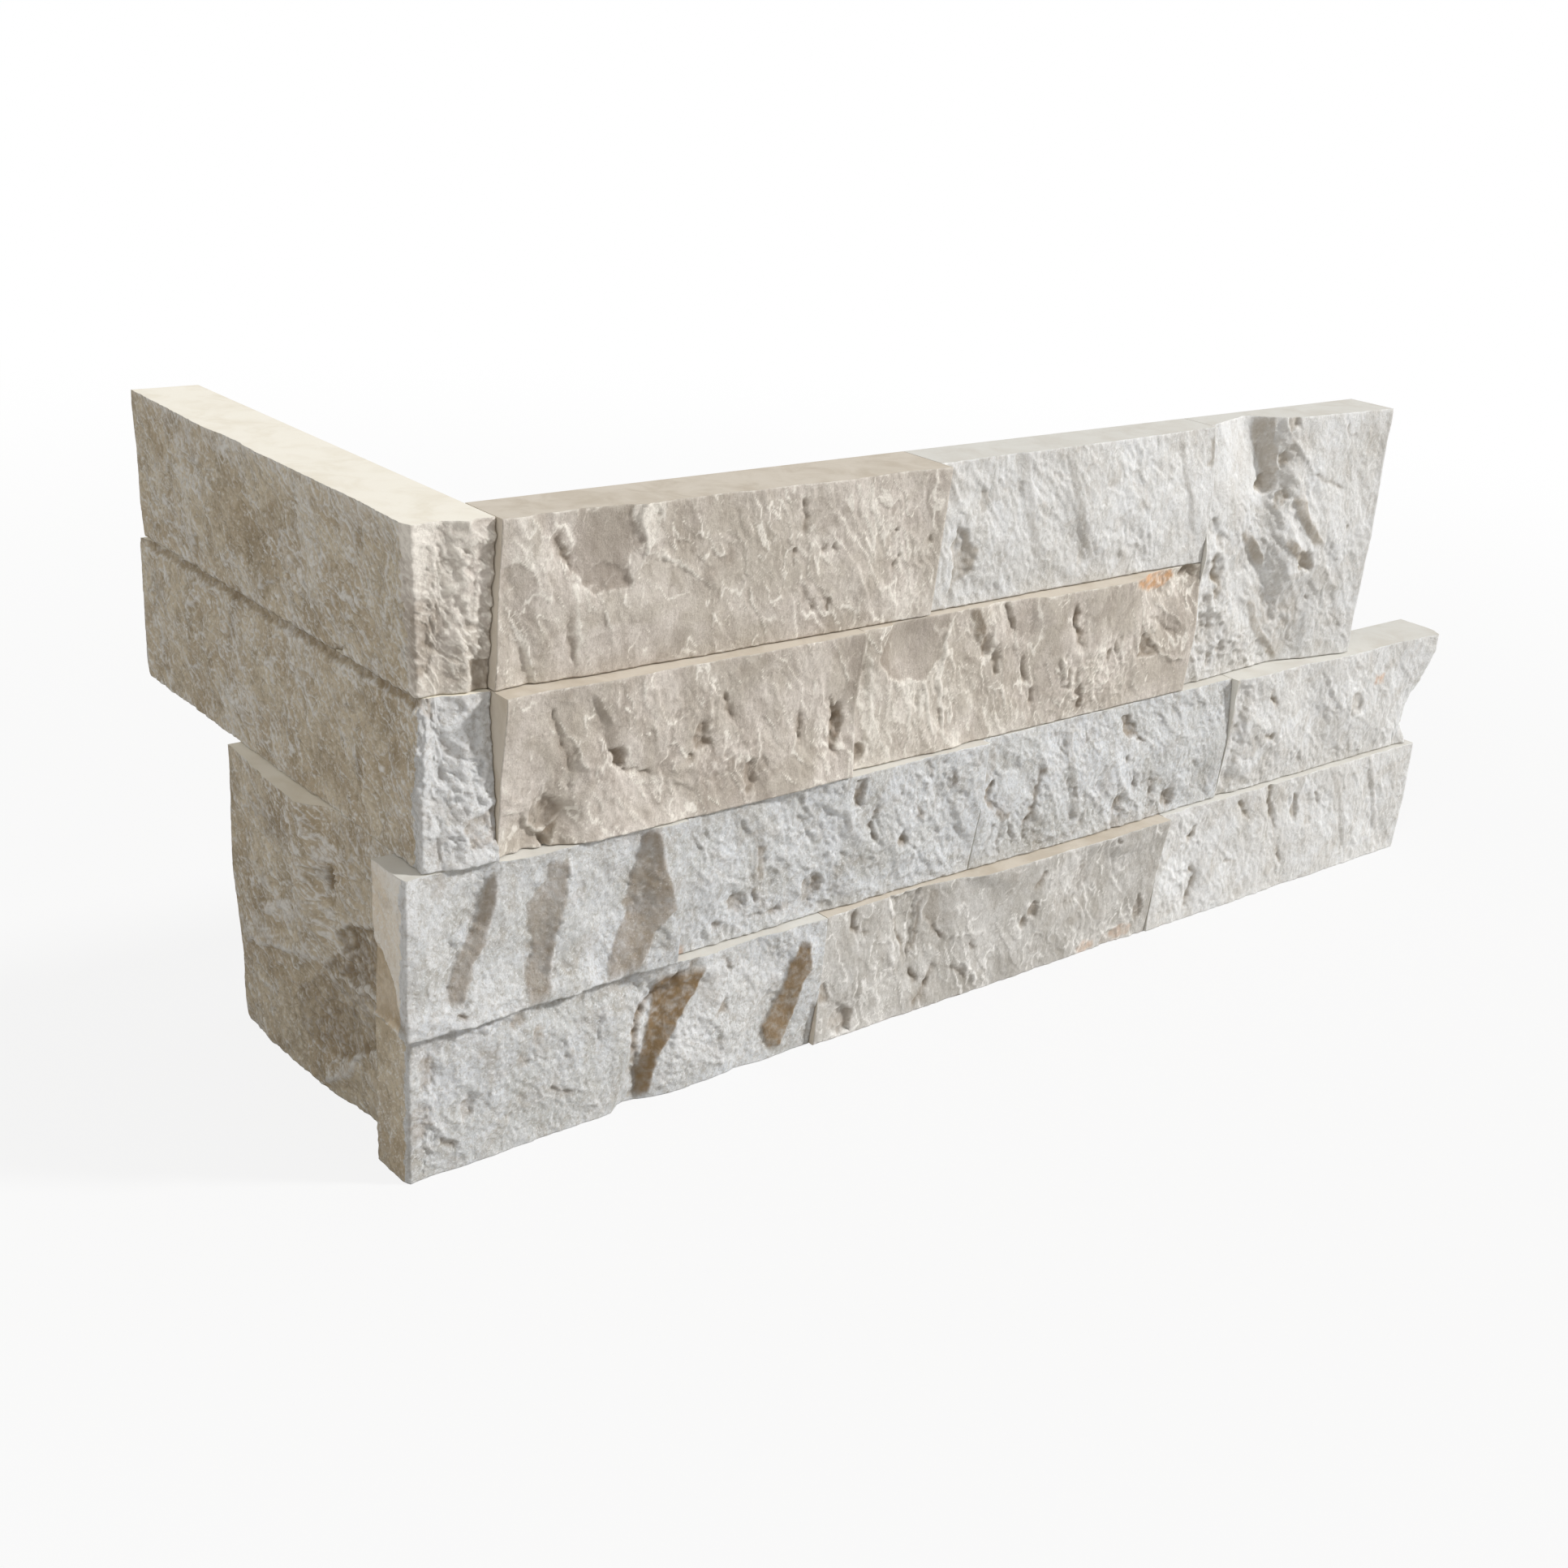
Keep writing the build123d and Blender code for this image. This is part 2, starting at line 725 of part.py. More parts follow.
# The origin is the middle of the footprint, at the bottom
box = Compound(children=[stone.solid() for stone in stones.values()]).bounding_box()
middle = box.center()
home = Pos(-middle.X, -middle.Y, -box.min.Z)

os.makedirs("parts", exist_ok=True)
for name, stone in stones.items():
    placed = home * stone.solid()
    placed.label = name
    export_step(placed, f"parts/{name}.step")
    print(name, round(placed.volume / 1000, 1), "cm3")
print("outer corner is at", [round(v, 3) for v in (-middle.X, -middle.Y, -box.min.Z)])
print("size", [round(v, 2) for v in box.size])
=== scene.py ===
"""Looks of the ledger stone corner piece: every split stone, its finishes, light and camera.

Lengths in the tables below are millimetres from the outer corner of the panel: the long leg
runs to the right, the short leg runs back. A break is placed as seen square on to its leg,
so it lands where the eye finds it, and it is carried onto the rough face behind it.
"""
from __future__ import annotations

import logging
import math
from dataclasses import dataclass, replace
from enum import Enum
from functools import partial

import bmesh
import bpy
import numpy as np
from mathutils import Matrix, Vector
from mathutils.bvhtree import BVHTree

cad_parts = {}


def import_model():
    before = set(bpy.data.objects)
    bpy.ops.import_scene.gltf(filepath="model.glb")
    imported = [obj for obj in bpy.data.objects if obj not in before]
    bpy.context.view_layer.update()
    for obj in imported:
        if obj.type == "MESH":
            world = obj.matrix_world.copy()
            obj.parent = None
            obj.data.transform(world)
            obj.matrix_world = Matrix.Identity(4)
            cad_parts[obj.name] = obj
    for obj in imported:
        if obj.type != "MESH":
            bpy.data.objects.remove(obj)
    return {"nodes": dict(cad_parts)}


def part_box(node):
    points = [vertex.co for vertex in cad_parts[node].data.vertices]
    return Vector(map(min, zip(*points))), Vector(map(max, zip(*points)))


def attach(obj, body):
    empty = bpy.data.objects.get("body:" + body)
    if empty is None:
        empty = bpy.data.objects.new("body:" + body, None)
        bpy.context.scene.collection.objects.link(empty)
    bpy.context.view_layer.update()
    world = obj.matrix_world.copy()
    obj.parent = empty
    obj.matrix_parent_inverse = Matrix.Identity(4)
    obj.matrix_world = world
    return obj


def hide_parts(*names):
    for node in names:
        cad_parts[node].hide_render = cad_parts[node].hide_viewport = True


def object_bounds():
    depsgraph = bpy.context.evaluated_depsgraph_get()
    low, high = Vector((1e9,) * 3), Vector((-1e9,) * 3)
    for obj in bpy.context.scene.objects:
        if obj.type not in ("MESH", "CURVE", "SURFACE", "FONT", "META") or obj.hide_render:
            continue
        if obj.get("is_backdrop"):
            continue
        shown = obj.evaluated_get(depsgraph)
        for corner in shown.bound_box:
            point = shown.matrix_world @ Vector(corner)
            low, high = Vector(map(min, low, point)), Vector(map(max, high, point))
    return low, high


log = logging.getLogger("ledger_stone")
MM = 0.001
EYE = np.array([-190.06, -336.5, 253.35])
LONG_BACK = 13.6
SHORT_BACK = 17.0
PITCH = 0.43
FAR = 1e9
Points = tuple[tuple[float, float], ...]
Colour = tuple[float, float, float, float]
Socket = bpy.types.NodeSocket


def linear(red: int, green: int, blue: int) -> Colour:
    """A colour written as display values from 0 to 255, as the shader takes it.

    Args:
        red: Display red.
        green: Display green.
        blue: Display blue.

    Returns:
        The linear colour with full alpha.
    """
    parts = [v / 255.0 for v in (red, green, blue)]
    out = [v / 12.92 if v <= 0.04045 else ((v + 0.055) / 1.055) ** 2.4 for v in parts]
    return (out[0], out[1], out[2], 1.0)


def smooth(value: np.ndarray) -> np.ndarray:
    """An even ramp from 0 to 1 of values that run from 0 to 1."""
    t = np.clip(value, 0.0, 1.0)
    return t * t * (3.0 - 2.0 * t)


def blend(grid: np.ndarray, own: float = 0.0) -> np.ndarray:
    """Each value averaged with its four neighbours.

    Args:
        grid: The values.
        own: The value's own weight beside the neighbours' weight of 1 each.

    Returns:
        The softened values.
    """
    pad = np.pad(grid, 1, mode="edge")
    total = pad[:-2, 1:-1] + pad[2:, 1:-1] + pad[1:-1, :-2] + pad[1:-1, 2:]
    return (total + own * grid) / (4 + own)


def beside(a: np.ndarray, h: np.ndarray, start: np.ndarray,
           end: np.ndarray) -> tuple[np.ndarray, np.ndarray]:
    """Where points lie beside a straight piece of a line.

    Args:
        a: Places across.
        h: Heights.
        start: Where the piece starts.
        end: Where it ends.

    Returns:
        How far along it each point lies, from 0 to 1, and how far off it.
    """
    (x, y), (dx, dy) = start, end - start
    t = np.clip(((a - x) * dx + (h - y) * dy) / (dx * dx + dy * dy + 1 / FAR), 0, 1)
    return t, np.hypot(a - x - t * dx, h - y - t * dy)


class Leg(Enum):
    """The two legs of the corner."""

    LONG = "long"
    SHORT = "short"


class Turn(Enum):
    """Which end of a stone is split as well, so that its face turns round it."""

    NONE = "none"
    START = "start"
    END = "end"


class Grit:
    """Repeatable roughness: random values, waves and flake scars on a plane."""

    @staticmethod
    def toss(column: np.ndarray, row: np.ndarray, seed: int) -> np.ndarray:
        """A random value from 0 to 1 for each whole-numbered place.

        Args:
            column: Whole-numbered places across.
            row: Whole-numbered places up.
            seed: Which set of values.

        Returns:
            One value a place.
        """
        a = column.astype(np.int64).astype(np.uint32) * np.uint32(374761393)
        b = row.astype(np.int64).astype(np.uint32) * np.uint32(668265263)
        mix = a ^ (b + np.uint32(seed * 974711 + 12345))
        mix = (mix ^ (mix >> np.uint32(13))) * np.uint32(1274126177)
        mix = (mix ^ (mix >> np.uint32(16))) * np.uint32(2246822519)
        mix = mix ^ (mix >> np.uint32(15))
        return mix.astype(np.float64) / 4294967295.0

    @classmethod
    def wave(cls, a: np.ndarray, h: np.ndarray, seed: int, size: float,
             tall: float | None = None) -> np.ndarray:
        """Gradient noise, about -0.7 to 0.7.

        Args:
            a: Places across in mm.
            h: Heights in mm.
            seed: Which pattern.
            size: The bumps' size in mm.
            tall: Their height, where it differs.

        Returns:
            The noise at each place.
        """
        u, v = a / size, h / (tall or size)
        cu, cv = np.floor(u), np.floor(v)
        fu, fv = u - cu, v - cv
        su, sv = (t * t * t * (t * (t * 6 - 15) + 10) for t in (fu, fv))
        total = np.zeros_like(u)
        for i in (0, 1):
            for j in (0, 1):
                angle = cls.toss(cu + i, cv + j, seed) * 2 * math.pi
                push = np.cos(angle) * (fu - i) + np.sin(angle) * (fv - j)
                total += push * (su if i else 1 - su) * (sv if j else 1 - sv)
        return total

    @classmethod
    def bend(cls, a: np.ndarray, h: np.ndarray, seed: int,
             *waves: tuple[float, float]) -> tuple[np.ndarray, np.ndarray]:
        """Places pushed about, so that straight outlines turn ragged.

        Args:
            a: Places across.
            h: Heights.
            seed: Which pattern.
            waves: The size and the push of each wave, in mm.

        Returns:
            The new places across and the new heights.
        """
        moved = [a, h]
        for axis in (0, 1):
            for k, (size, push) in enumerate(waves):
                moved[axis] = moved[axis] + push * cls.wave(a, h, seed + 2 * axis + k, size)
        return moved[0], moved[1]

    @classmethod
    def flakes(cls, u: np.ndarray, v: np.ndarray, seed: int,
               steep: float) -> tuple[np.ndarray, np.ndarray]:
        """Overlapping scooped flake scars with sharp arrises between them.

        Args:
            u: Place across the grain, in flakes.
            v: Place along the grain, in flakes.
            seed: Which pattern.
            steep: How much steeper the far side of each scoop is than its near side.

        Returns:
            The height, from 0 in a scoop to about 1 on an arris, and each flake's own tone.
        """
        cu, cv = np.floor(u), np.floor(v)
        best = np.full_like(u, 9.0)
        tone = np.zeros_like(u)
        for i in (-1, 0, 1):
            for j in (-1, 0, 1):
                gu, gv = cu + i, cv + j
                du = u - gu - cls.toss(gu, gv, seed)
                dv = v - gv - cls.toss(gu, gv, seed + 1)
                bowl = np.where(du > 0, steep, 1.0 / steep) * du * du + dv * dv
                lean = (cls.toss(gu, gv, seed + 2) - 0.5) * dv
                height = bowl + lean + 0.55 * cls.toss(gu, gv, seed + 3)
                tone = np.where(height < best, cls.toss(gu, gv, seed + 4) - 0.5, tone)
                best = np.minimum(best, height)
        return best, tone

    @classmethod
    def shells(cls, u: np.ndarray, v: np.ndarray, seed: int) -> tuple[np.ndarray, np.ndarray]:
        """Thin shells that lie over each other and drop at ragged, curving rims.

        Args:
            u: Place across the grain, in shells.
            v: Place along the grain, in shells.
            seed: Which pattern.

        Returns:
            The height, and how close the point is to a rim, both from 0 to 1.
        """
        rank = cls.wave(u, v, seed, 1)
        for k, (often, share) in enumerate(((2.3, 0.45), (5.1, 0.22), (11, 0.12))):
            rank += share * cls.wave(u * often, v * often, seed + 1 + k, 1)
        layers, rim, blur = 3.2, 0.82, 0.09
        part = rank * layers - np.floor(rank * layers)
        height = np.where(part < rim, part / rim, (1 - part) / (1 - rim))
        return height, np.clip(1 - np.abs(part - rim) / blur, 0, 1)


@dataclass
class Relief:
    """One view of a stone's split face, with a value for each point of its grid.

    across and height are where each point is seen. weight says how much the point faces
    this view. lift is how far it stands out, and the rest steer the finish. Of these, stain
    darkens and browns the colour, for real stains and as painted shade in hollows, cracks, pits
    and breaks that look left, and light makes it paler or darker, for the stone's own tones and
    as painted highlights and painted shade.
    """

    across: np.ndarray
    height: np.ndarray
    weight: np.ndarray
    lift: np.ndarray
    calm: np.ndarray
    stain_and_shade: np.ndarray
    rust: np.ndarray
    light: np.ndarray
    crumble: np.ndarray

    def near(self, outline: np.ndarray, reach: float) -> np.ndarray:
        """The points in the box round an outline.

        Args:
            outline: The outline's corners.
            reach: How far the box goes beyond them.

        Returns:
            The points' numbers.
        """
        low, high = outline.min(0) - reach, outline.max(0) + reach
        a, h = self.across, self.height
        return np.flatnonzero((a > low[0]) & (a < high[0]) & (h > low[1]) & (h < high[1]))

    def deepen(self, name: str, pick: np.ndarray | slice, values: np.ndarray) -> None:
        """Raises one of the finish's values to at least the given ones."""
        held = getattr(self, name)
        held[pick] = np.maximum(held[pick], values)


@dataclass(frozen=True)
class Facet:
    """A facet, scar or patch inside an outline.

    sink is how deep it lies, tilt its rise to the right and upwards in mm a mm, bowl how much
    deeper its middle is, edge how soft its rim is. The rest are its finish, from 0 to 1, of
    which only light goes below 0.
    """

    outline: Points
    sink: float = 0.0
    tilt: tuple[float, float] = (0.0, 0.0)
    bowl: float = 0.0
    edge: float = 1.0
    calm: float = 0.0
    stain_and_shade: float = 0.0
    rust: float = 0.0
    light: float = 0.0
    crumble: float = 0.0

    def carve(self, relief: Relief) -> None:
        """Cuts the facet into a relief.

        Args:
            relief: The face it is cut into.
        """
        ring = np.array(self.outline)
        pick = relief.near(ring, self.edge + 1.0)
        if not len(pick):
            return
        ragged = min(0.22 * float(np.ptp(ring, 0).min()), 1.8)
        a, h = Grit.bend(relief.across[pick], relief.height[pick], 90, (5, ragged), (1.8, 0.7))
        inside = np.zeros(len(pick), bool)
        gap = np.full(len(pick), FAR)
        for start, end in zip(ring, np.roll(ring, -1, 0)):
            gap = np.minimum(gap, beside(a, h, start, end)[1])
            (x, y), (dx, dy) = start, end - start
            crosses = (y > h) != (end[1] > h)
            inside ^= crosses & (a < x + (h - y) * dx / (dy if dy else 1 / FAR))
        depth = np.where(inside, gap, -gap)
        mask = smooth(depth / self.edge + 0.5) * relief.weight[pick]
        middle = ring.mean(0)
        slope = self.tilt[0] * (a - middle[0]) + self.tilt[1] * (h - middle[1])
        reach = max(float(depth.max()), 0.5)
        hollow = self.bowl * np.sqrt(np.clip(depth / reach, 0, 1))
        uneven = 1.0 + 0.5 * (1 - self.calm) * Grit.wave(a, h, 94, 2.6)
        relief.lift[pick] += mask * (slope - 0.75 * (self.sink + hollow) * uneven)
        relief.light[pick] += mask * self.light
        patchy = 0.72 + 0.9 * Grit.wave(a, h, 95, 2.1) + 0.5 * Grit.wave(a, h, 96, 0.9)
        patchy = np.clip(patchy, 0.1, 1.0)
        patchy = patchy + (1 - patchy) * 0.8 * self.calm
        relief.deepen("calm", pick, mask * self.calm)
        relief.deepen("crumble", pick, mask * self.crumble)
        relief.deepen("stain_and_shade", pick, mask * self.stain_and_shade * patchy)
        relief.deepen("rust", pick, mask * self.rust * patchy)


@dataclass(frozen=True)
class Step:
    """A break that looks left, between a line at its foot and a line at its crest.

    rise is how much the face gains across it. fall is how fast the face recovers to the left
    of the foot and to the right of the crest. stain is how dark the break is painted: partly an
    iron tint and partly painted shade, as the break looks away from the key lamp.
    """

    foot: Points
    crest: Points
    rise: float
    fall: tuple[float, float] = (7.0, 12.0)
    stain_and_shade: float = 0.6

    def carve(self, relief: Relief) -> None:
        """Cuts the break into a relief.

        Args:
            relief: The face it is cut into.
        """
        foot, crest = (np.array(sorted(line, key=lambda p: p[1])) for line in (self.foot, self.crest))
        low, high = min(foot[0, 1], crest[0, 1]), max(foot[-1, 1], crest[-1, 1])
        h = relief.height + 0.6 * Grit.wave(relief.across, relief.height, 55, 2.3)
        a = relief.across + 0.7 * Grit.wave(relief.across, relief.height, 56, 3.1)
        a0 = np.interp(h, foot[:, 1], foot[:, 0])
        a1 = np.maximum(np.interp(h, crest[:, 1], crest[:, 0]), a0 + 0.6)
        width = a1 - a0
        t = (a - a0) / width
        half = 0.7 * self.rise / 2
        left = -half * np.exp(np.minimum(t * width, 0) / self.fall[0])
        right = half * np.exp(np.minimum((1 - t) * width, 0) / self.fall[1])
        mask = smooth((h - low) / 3.0 + 0.4) * smooth((high - h) / 3.0 + 0.4) * relief.weight
        relief.lift += np.where(t < 0, left, np.where(t > 1, right, half * (2 * t - 1))) * mask
        # the band from foot to crest is painted darker: partly iron tint, partly painted shade
        band = smooth(t * width / 0.8 + 0.5) * smooth((1 - t) * width / 0.8 + 0.5) * mask
        patchy = 0.85 + 0.5 * Grit.wave(a, h, 57, 2.4) + 0.4 * Grit.wave(a, h, 58, 0.9)
        relief.deepen("calm", slice(None), 0.75 * band)
        relief.deepen("stain_and_shade", slice(None), band * self.stain_and_shade * np.clip(patchy, 0.3, 1.0))


@dataclass(frozen=True)
class Line:
    """A crack or an arris along a line: lift is negative for a crack. A crack is painted dark, partly as an
    iron tint and partly as painted shade in it; an arris is painted pale, partly as crushed stone and partly
    as painted highlight.
    """

    points: Points
    width: float
    lift: float
    stain_and_shade: float = 0.0
    light: float = 0.0

    def carve(self, relief: Relief) -> None:
        """Cuts or raises the line on a relief, steep on the side that looks left.

        Args:
            relief: The face it is cut into.
        """
        line = np.array(self.points)
        pick = relief.near(line, 4.0 * self.width + 1.0)
        a, h = Grit.bend(relief.across[pick], relief.height[pick], 76, (4.1, 1.3), (1.6, 0.7))
        gap = np.full(len(pick), FAR)
        side = np.ones(len(pick))
        share = np.zeros(len(pick))
        lengths = np.hypot(*np.diff(line, axis=0).T)
        done = np.concatenate([[0.0], np.cumsum(lengths)]) / lengths.sum()
        for k, (start, end) in enumerate(zip(line, line[1:])):
            t, here = beside(a, h, start, end)
            dx, dy = end - start
            across = (a - start[0]) * -dy + (h - start[1]) * dx
            closer = here < gap
            gap = np.where(closer, here, gap)
            side = np.where(closer, np.sign(across) * (1 if dy < 0 else -1), side)
            share = np.where(closer, done[k] + t * (done[k + 1] - done[k]), share)
        right, left = (2.2, 0.42) if self.lift > 0 else (0.38, 1.3)
        spread = np.where(side > 0, right, left) * self.width
        ends = smooth(share / 0.22 + 0.25) * smooth((1 - share) / 0.3 + 0.15)
        ends = ends * (0.85 + 0.7 * Grit.wave(a, h, 75, 3.3)) * relief.weight[pick]
        thin = np.exp(-((gap / (0.55 * self.width)) ** 2)) * ends
        relief.lift[pick] += np.exp(-gap / spread) * ends * self.lift * 1.2
        # thin pale line on an arris, partly painted highlight, and dark line in a crack, partly painted
        # shade
        relief.light[pick] += thin * self.light * 1.7
        relief.deepen("stain_and_shade", pick, np.clip(thin, 0, 1) * self.stain_and_shade)


Feature = Facet | Step | Line


@dataclass(frozen=True)
class SplitFinish:
    """How a stone splits and what its broken face looks like.

    grain is the direction that the flakes run in, in degrees from the bed. flakes and shells
    are pairs of size and depth. grit is the depth of the finest roughness, and coarse says how
    much of it the material shows. shade is how much painted shade darkens the breaks that look
    left, away from the key lamp, and tone sets the flakes off from each other. rim is how pale
    the shells' rims are painted, partly as crushed stone and partly as painted highlight, glint
    how bright the finest grains, and chip how much the edges have lost. slot names the stone's
    kind, which picks the material of its sawn faces.
    """

    name: str
    grain: float
    stretch: float
    flakes: Points
    shells: Points
    grit: float
    steep: float
    body: Colour
    pale: Colour
    deep: Colour
    brown: Colour
    spark: Colour
    coarse: float = 1.0
    shade: float = 0.28
    tone: float = 0.35
    rim: float = 0.3
    glint: float = 0.7
    chip: float = 0.3
    slot: str = "pale_grey_stone"

    def material(self) -> bpy.types.Material:
        """The broken face's material, made once."""
        return bpy.data.materials.get(self.name) or StoneShader(self.name).broken(self)


class Tree:
    """A node tree that is filled node by node."""

    def __init__(self, tree: bpy.types.NodeTree) -> None:
        """Takes the tree that is to be filled."""
        self.nodes, self.links = tree.nodes, tree.links

    def fill(self, node: bpy.types.Node, values: dict[int | str, object]) -> bpy.types.Node:
        """Sets a node's inputs, or links them where a socket is given.

        Args:
            node: The node.
            values: A value or a socket for each input.

        Returns:
            The node.
        """
        for name, value in values.items():
            if isinstance(value, Socket):
                self.links.new(value, node.inputs[name])
            else:
                node.inputs[name].default_value = value
        return node

    def add(self, kind: str, values: dict[int | str, object] | None = None,
            **settings: str) -> bpy.types.Node:
        """Makes a node.

        Args:
            kind: Its type, without the part that all types share.
            values: A value or a socket for each input.
            settings: Its own settings.

        Returns:
            The node.
        """
        node = self.nodes.new("ShaderNode" + kind)
        for name, value in settings.items():
            setattr(node, name, value)
        return self.fill(node, values or {})

    def ramp(self, source: Socket, low: float, high: float, bottom: float = 0.0, top: float = 1.0) -> Socket:
        """A value spread from one range to another, held at its ends.

        Args:
            source: The value.
            low: Start of its range.
            high: End of its range.
            bottom: The result at the start.
            top: The result at the end.

        Returns:
            The new value.
        """
        values = {"Value": source, "From Min": low, "From Max": high, "To Min": bottom, "To Max": top}
        return self.add("MapRange", values, interpolation_type="SMOOTHSTEP").outputs["Result"]


class StoneShader(Tree):
    """Builds the stone's materials."""

    def __init__(self, name: str) -> None:
        """Makes the material that is to be filled.

        Args:
            name: Its name.
        """
        self.made = bpy.data.materials.new(name)
        self.made.use_nodes = True
        super().__init__(self.made.node_tree)
        self.place = self.add("TexCoord").outputs["Object"]

    def noise(self, size: float, detail: float, rough: float, warp: float = 0.0,
              stretch: tuple[float, float, float] | None = None) -> Socket:
        """A noise texture on the object's own coordinates.

        Args:
            size: The bumps' size in mm.
            detail: How many finer layers it has.
            rough: How strong the finer layers are.
            warp: How much it is twisted.
            stretch: Optional factors on the three axes.

        Returns:
            The noise's value.
        """
        place = self.place
        if stretch:
            turn = (0.0, math.radians(-40), 0.0)
            mapping = {"Scale": stretch, "Rotation": turn, "Vector": place}
            place = self.add("Mapping", mapping).outputs["Vector"]
        values = {"Scale": 1.0 / (size * MM), "Detail": detail, "Roughness": rough, "Distortion": warp}
        return self.add("TexNoise", values | {"Vector": place}).outputs["Fac"]

    def mix(self, share: Socket, first: Colour | Socket, second: Colour | Socket) -> Socket:
        """A colour between two colours.

        Args:
            share: How much of the second colour.
            first: A colour or a socket.
            second: A colour or a socket.

        Returns:
            The mixed colour.
        """
        first_colour, second_colour, result = 6, 7, 2
        values = {0: share, first_colour: first, second_colour: second}
        return self.add("Mix", values, data_type="RGBA").outputs[result]

    def value(self, name: str) -> Socket:
        """A value that the face carries at its points."""
        return self.add("Attribute", attribute_name=name).outputs["Fac"]

    def bump(self, source: Socket, strength: float, depth: float, under: Socket | None = None) -> Socket:
        """A bump from a value.

        Args:
            source: The height.
            strength: How much it shows.
            depth: Its depth in mm.
            under: A bump below it.

        Returns:
            The bumped normal.
        """
        values = {"Strength": strength, "Distance": depth * MM, "Height": source}
        if under is not None:
            values["Normal"] = under
        return self.add("Bump", values).outputs["Normal"]

    def finish(self, colour: Socket, rough: Socket, normal: Socket) -> bpy.types.Material:
        """Joins the parts to the shader.

        Args:
            colour: The base colour.
            rough: The roughness.
            normal: The bumped normal.

        Returns:
            The material.
        """
        values = {"Base Color": colour, "Roughness": rough, "Normal": normal, "Specular IOR Level": 0.3}
        self.fill(self.nodes["Principled BSDF"], values)
        return self.made

    def broken(self, finish: SplitFinish) -> bpy.types.Material:
        """The material of a broken face.

        Args:
            finish: The finish it shows.

        Returns:
            The material.
        """
        cloud = self.ramp(self.noise(16, 5, 0.6, 0.6), 0.36, 0.64)
        mottle = self.ramp(self.noise(6.5, 7, 0.72, 0.6, (1.0, 1.0, 0.6)), 0.47, 0.64, 0, 0.5)
        warm = self.ramp(self.noise(9, 4, 0.6, 0.8), 0.50, 0.68, 0, 0.2)
        grain = self.ramp(self.noise(1.1, 3, 0.65, 0.2), 0.46, 0.68, 0, 0.5 * finish.coarse)
        spark = self.ramp(self.noise(0.8, 2, 0.6), 0.55, 0.70, 0, finish.glint * finish.coarse)
        # light brings in the stone's own tones as well as painted highlights and painted shade; the stain
        # value brings in real stains as well as painted shade
        light = self.value("light")
        colour = self.mix(cloud, finish.body, finish.pale)
        for share, tint in (
            (mottle, finish.deep),
            (self.ramp(light, 0, 1, 0, 0.85), finish.spark),
            (self.ramp(light, -1, 0, 0.75, 0), finish.deep),
            (warm, finish.brown),
            (grain, finish.deep),
            (spark, finish.spark),
            (self.value("stain_and_shade"), finish.brown),
            (self.value("rust"), linear(214, 158, 102)),
        ):
            colour = self.mix(share, colour, tint)
        rough = self.ramp(self.noise(3.0, 3, 0.6), 0.3, 0.7, 0.72, 0.92)
        normal = self.bump(self.noise(1.5, 4, 0.65, 0.4, (1.0, 1.0, 0.22)), 0.6, 0.3)
        normal = self.bump(self.noise(1.4, 6, 0.8, 0.3), 1.0, 0.6 * finish.coarse, normal)
        normal = self.bump(self.noise(0.6, 5, 0.75), 0.9, 0.32 * finish.coarse, normal)
        return self.finish(colour, rough, normal)

    def sawn(self, body: Colour, deep: Colour) -> bpy.types.Material:
        """The material of a sawn face, matt and fine with faint clouds.

        Args:
            body: Its main colour.
            deep: The colour of its clouds.

        Returns:
            The material.
        """
        cloud = self.ramp(self.noise(11, 5, 0.62, 0.5), 0.40, 0.72, 0.0, 0.7)
        speck = self.ramp(self.noise(1.1, 3, 0.7), 0.60, 0.76, 0.0, 0.35)
        colour = self.mix(speck, self.mix(cloud, body, deep), deep)
        rough = self.ramp(self.noise(4.0, 3, 0.6), 0.3, 0.7, 0.60, 0.80)
        return self.finish(colour, rough, self.bump(self.noise(0.7, 4, 0.65), 0.25, 0.08))


PALE = SplitFinish(
    "pale_split_face", grain=-50.0, stretch=2.0,
    flakes=((15.0, 1.1), (6.0, 0.8), (2.7, 0.65), (1.3, 0.42)), shells=((13.0, 0.35),),
    grit=0.22, coarse=0.9, steep=1.8,
    body=linear(214, 214, 211), pale=linear(229, 231, 233), deep=linear(180, 174, 163),
    brown=linear(148, 128, 101), spark=linear(246, 246, 245),
)
CHALK = replace(
    PALE, name="chalky_split_face", flakes=((15.0, 1.0), (6.0, 0.65), (2.7, 0.4), (1.3, 0.34)),
    deep=linear(182, 175, 162), brown=linear(152, 127, 94), coarse=1.0, chip=0.12,
)
WHITE = SplitFinish(
    "white_split_face", grain=-54.0, stretch=2.2,
    flakes=((15.0, 0.9), (6.0, 0.7), (2.7, 0.5), (1.3, 0.3)), shells=((14.0, 0.35),),
    grit=0.18, coarse=0.6, steep=1.8,
    body=linear(220, 218, 214), pale=linear(232, 232, 231), deep=linear(192, 187, 178),
    brown=linear(164, 148, 124), spark=linear(248, 247, 244),
)
BEIGE = SplitFinish(
    "beige_split_face", grain=-66.0, stretch=2.8,
    flakes=((19.0, 1.2), (8.0, 0.45), (3.3, 0.17), (1.4, 0.12)), shells=((17.0, 0.3), (7.0, 0.1)),
    grit=0.13, coarse=0.6, steep=1.8,
    body=linear(201, 192, 179), pale=linear(222, 213, 203), deep=linear(166, 154, 142),
    brown=linear(138, 121, 100), spark=linear(250, 244, 233), tone=0.6, rim=2.4, glint=0.15,
    slot="beige_stone",
)
GREIGE = replace(
    BEIGE, name="grey_beige_split_face", body=linear(198, 194, 187), pale=linear(214, 211, 206),
    deep=linear(168, 162, 152), spark=linear(246, 243, 238),
)
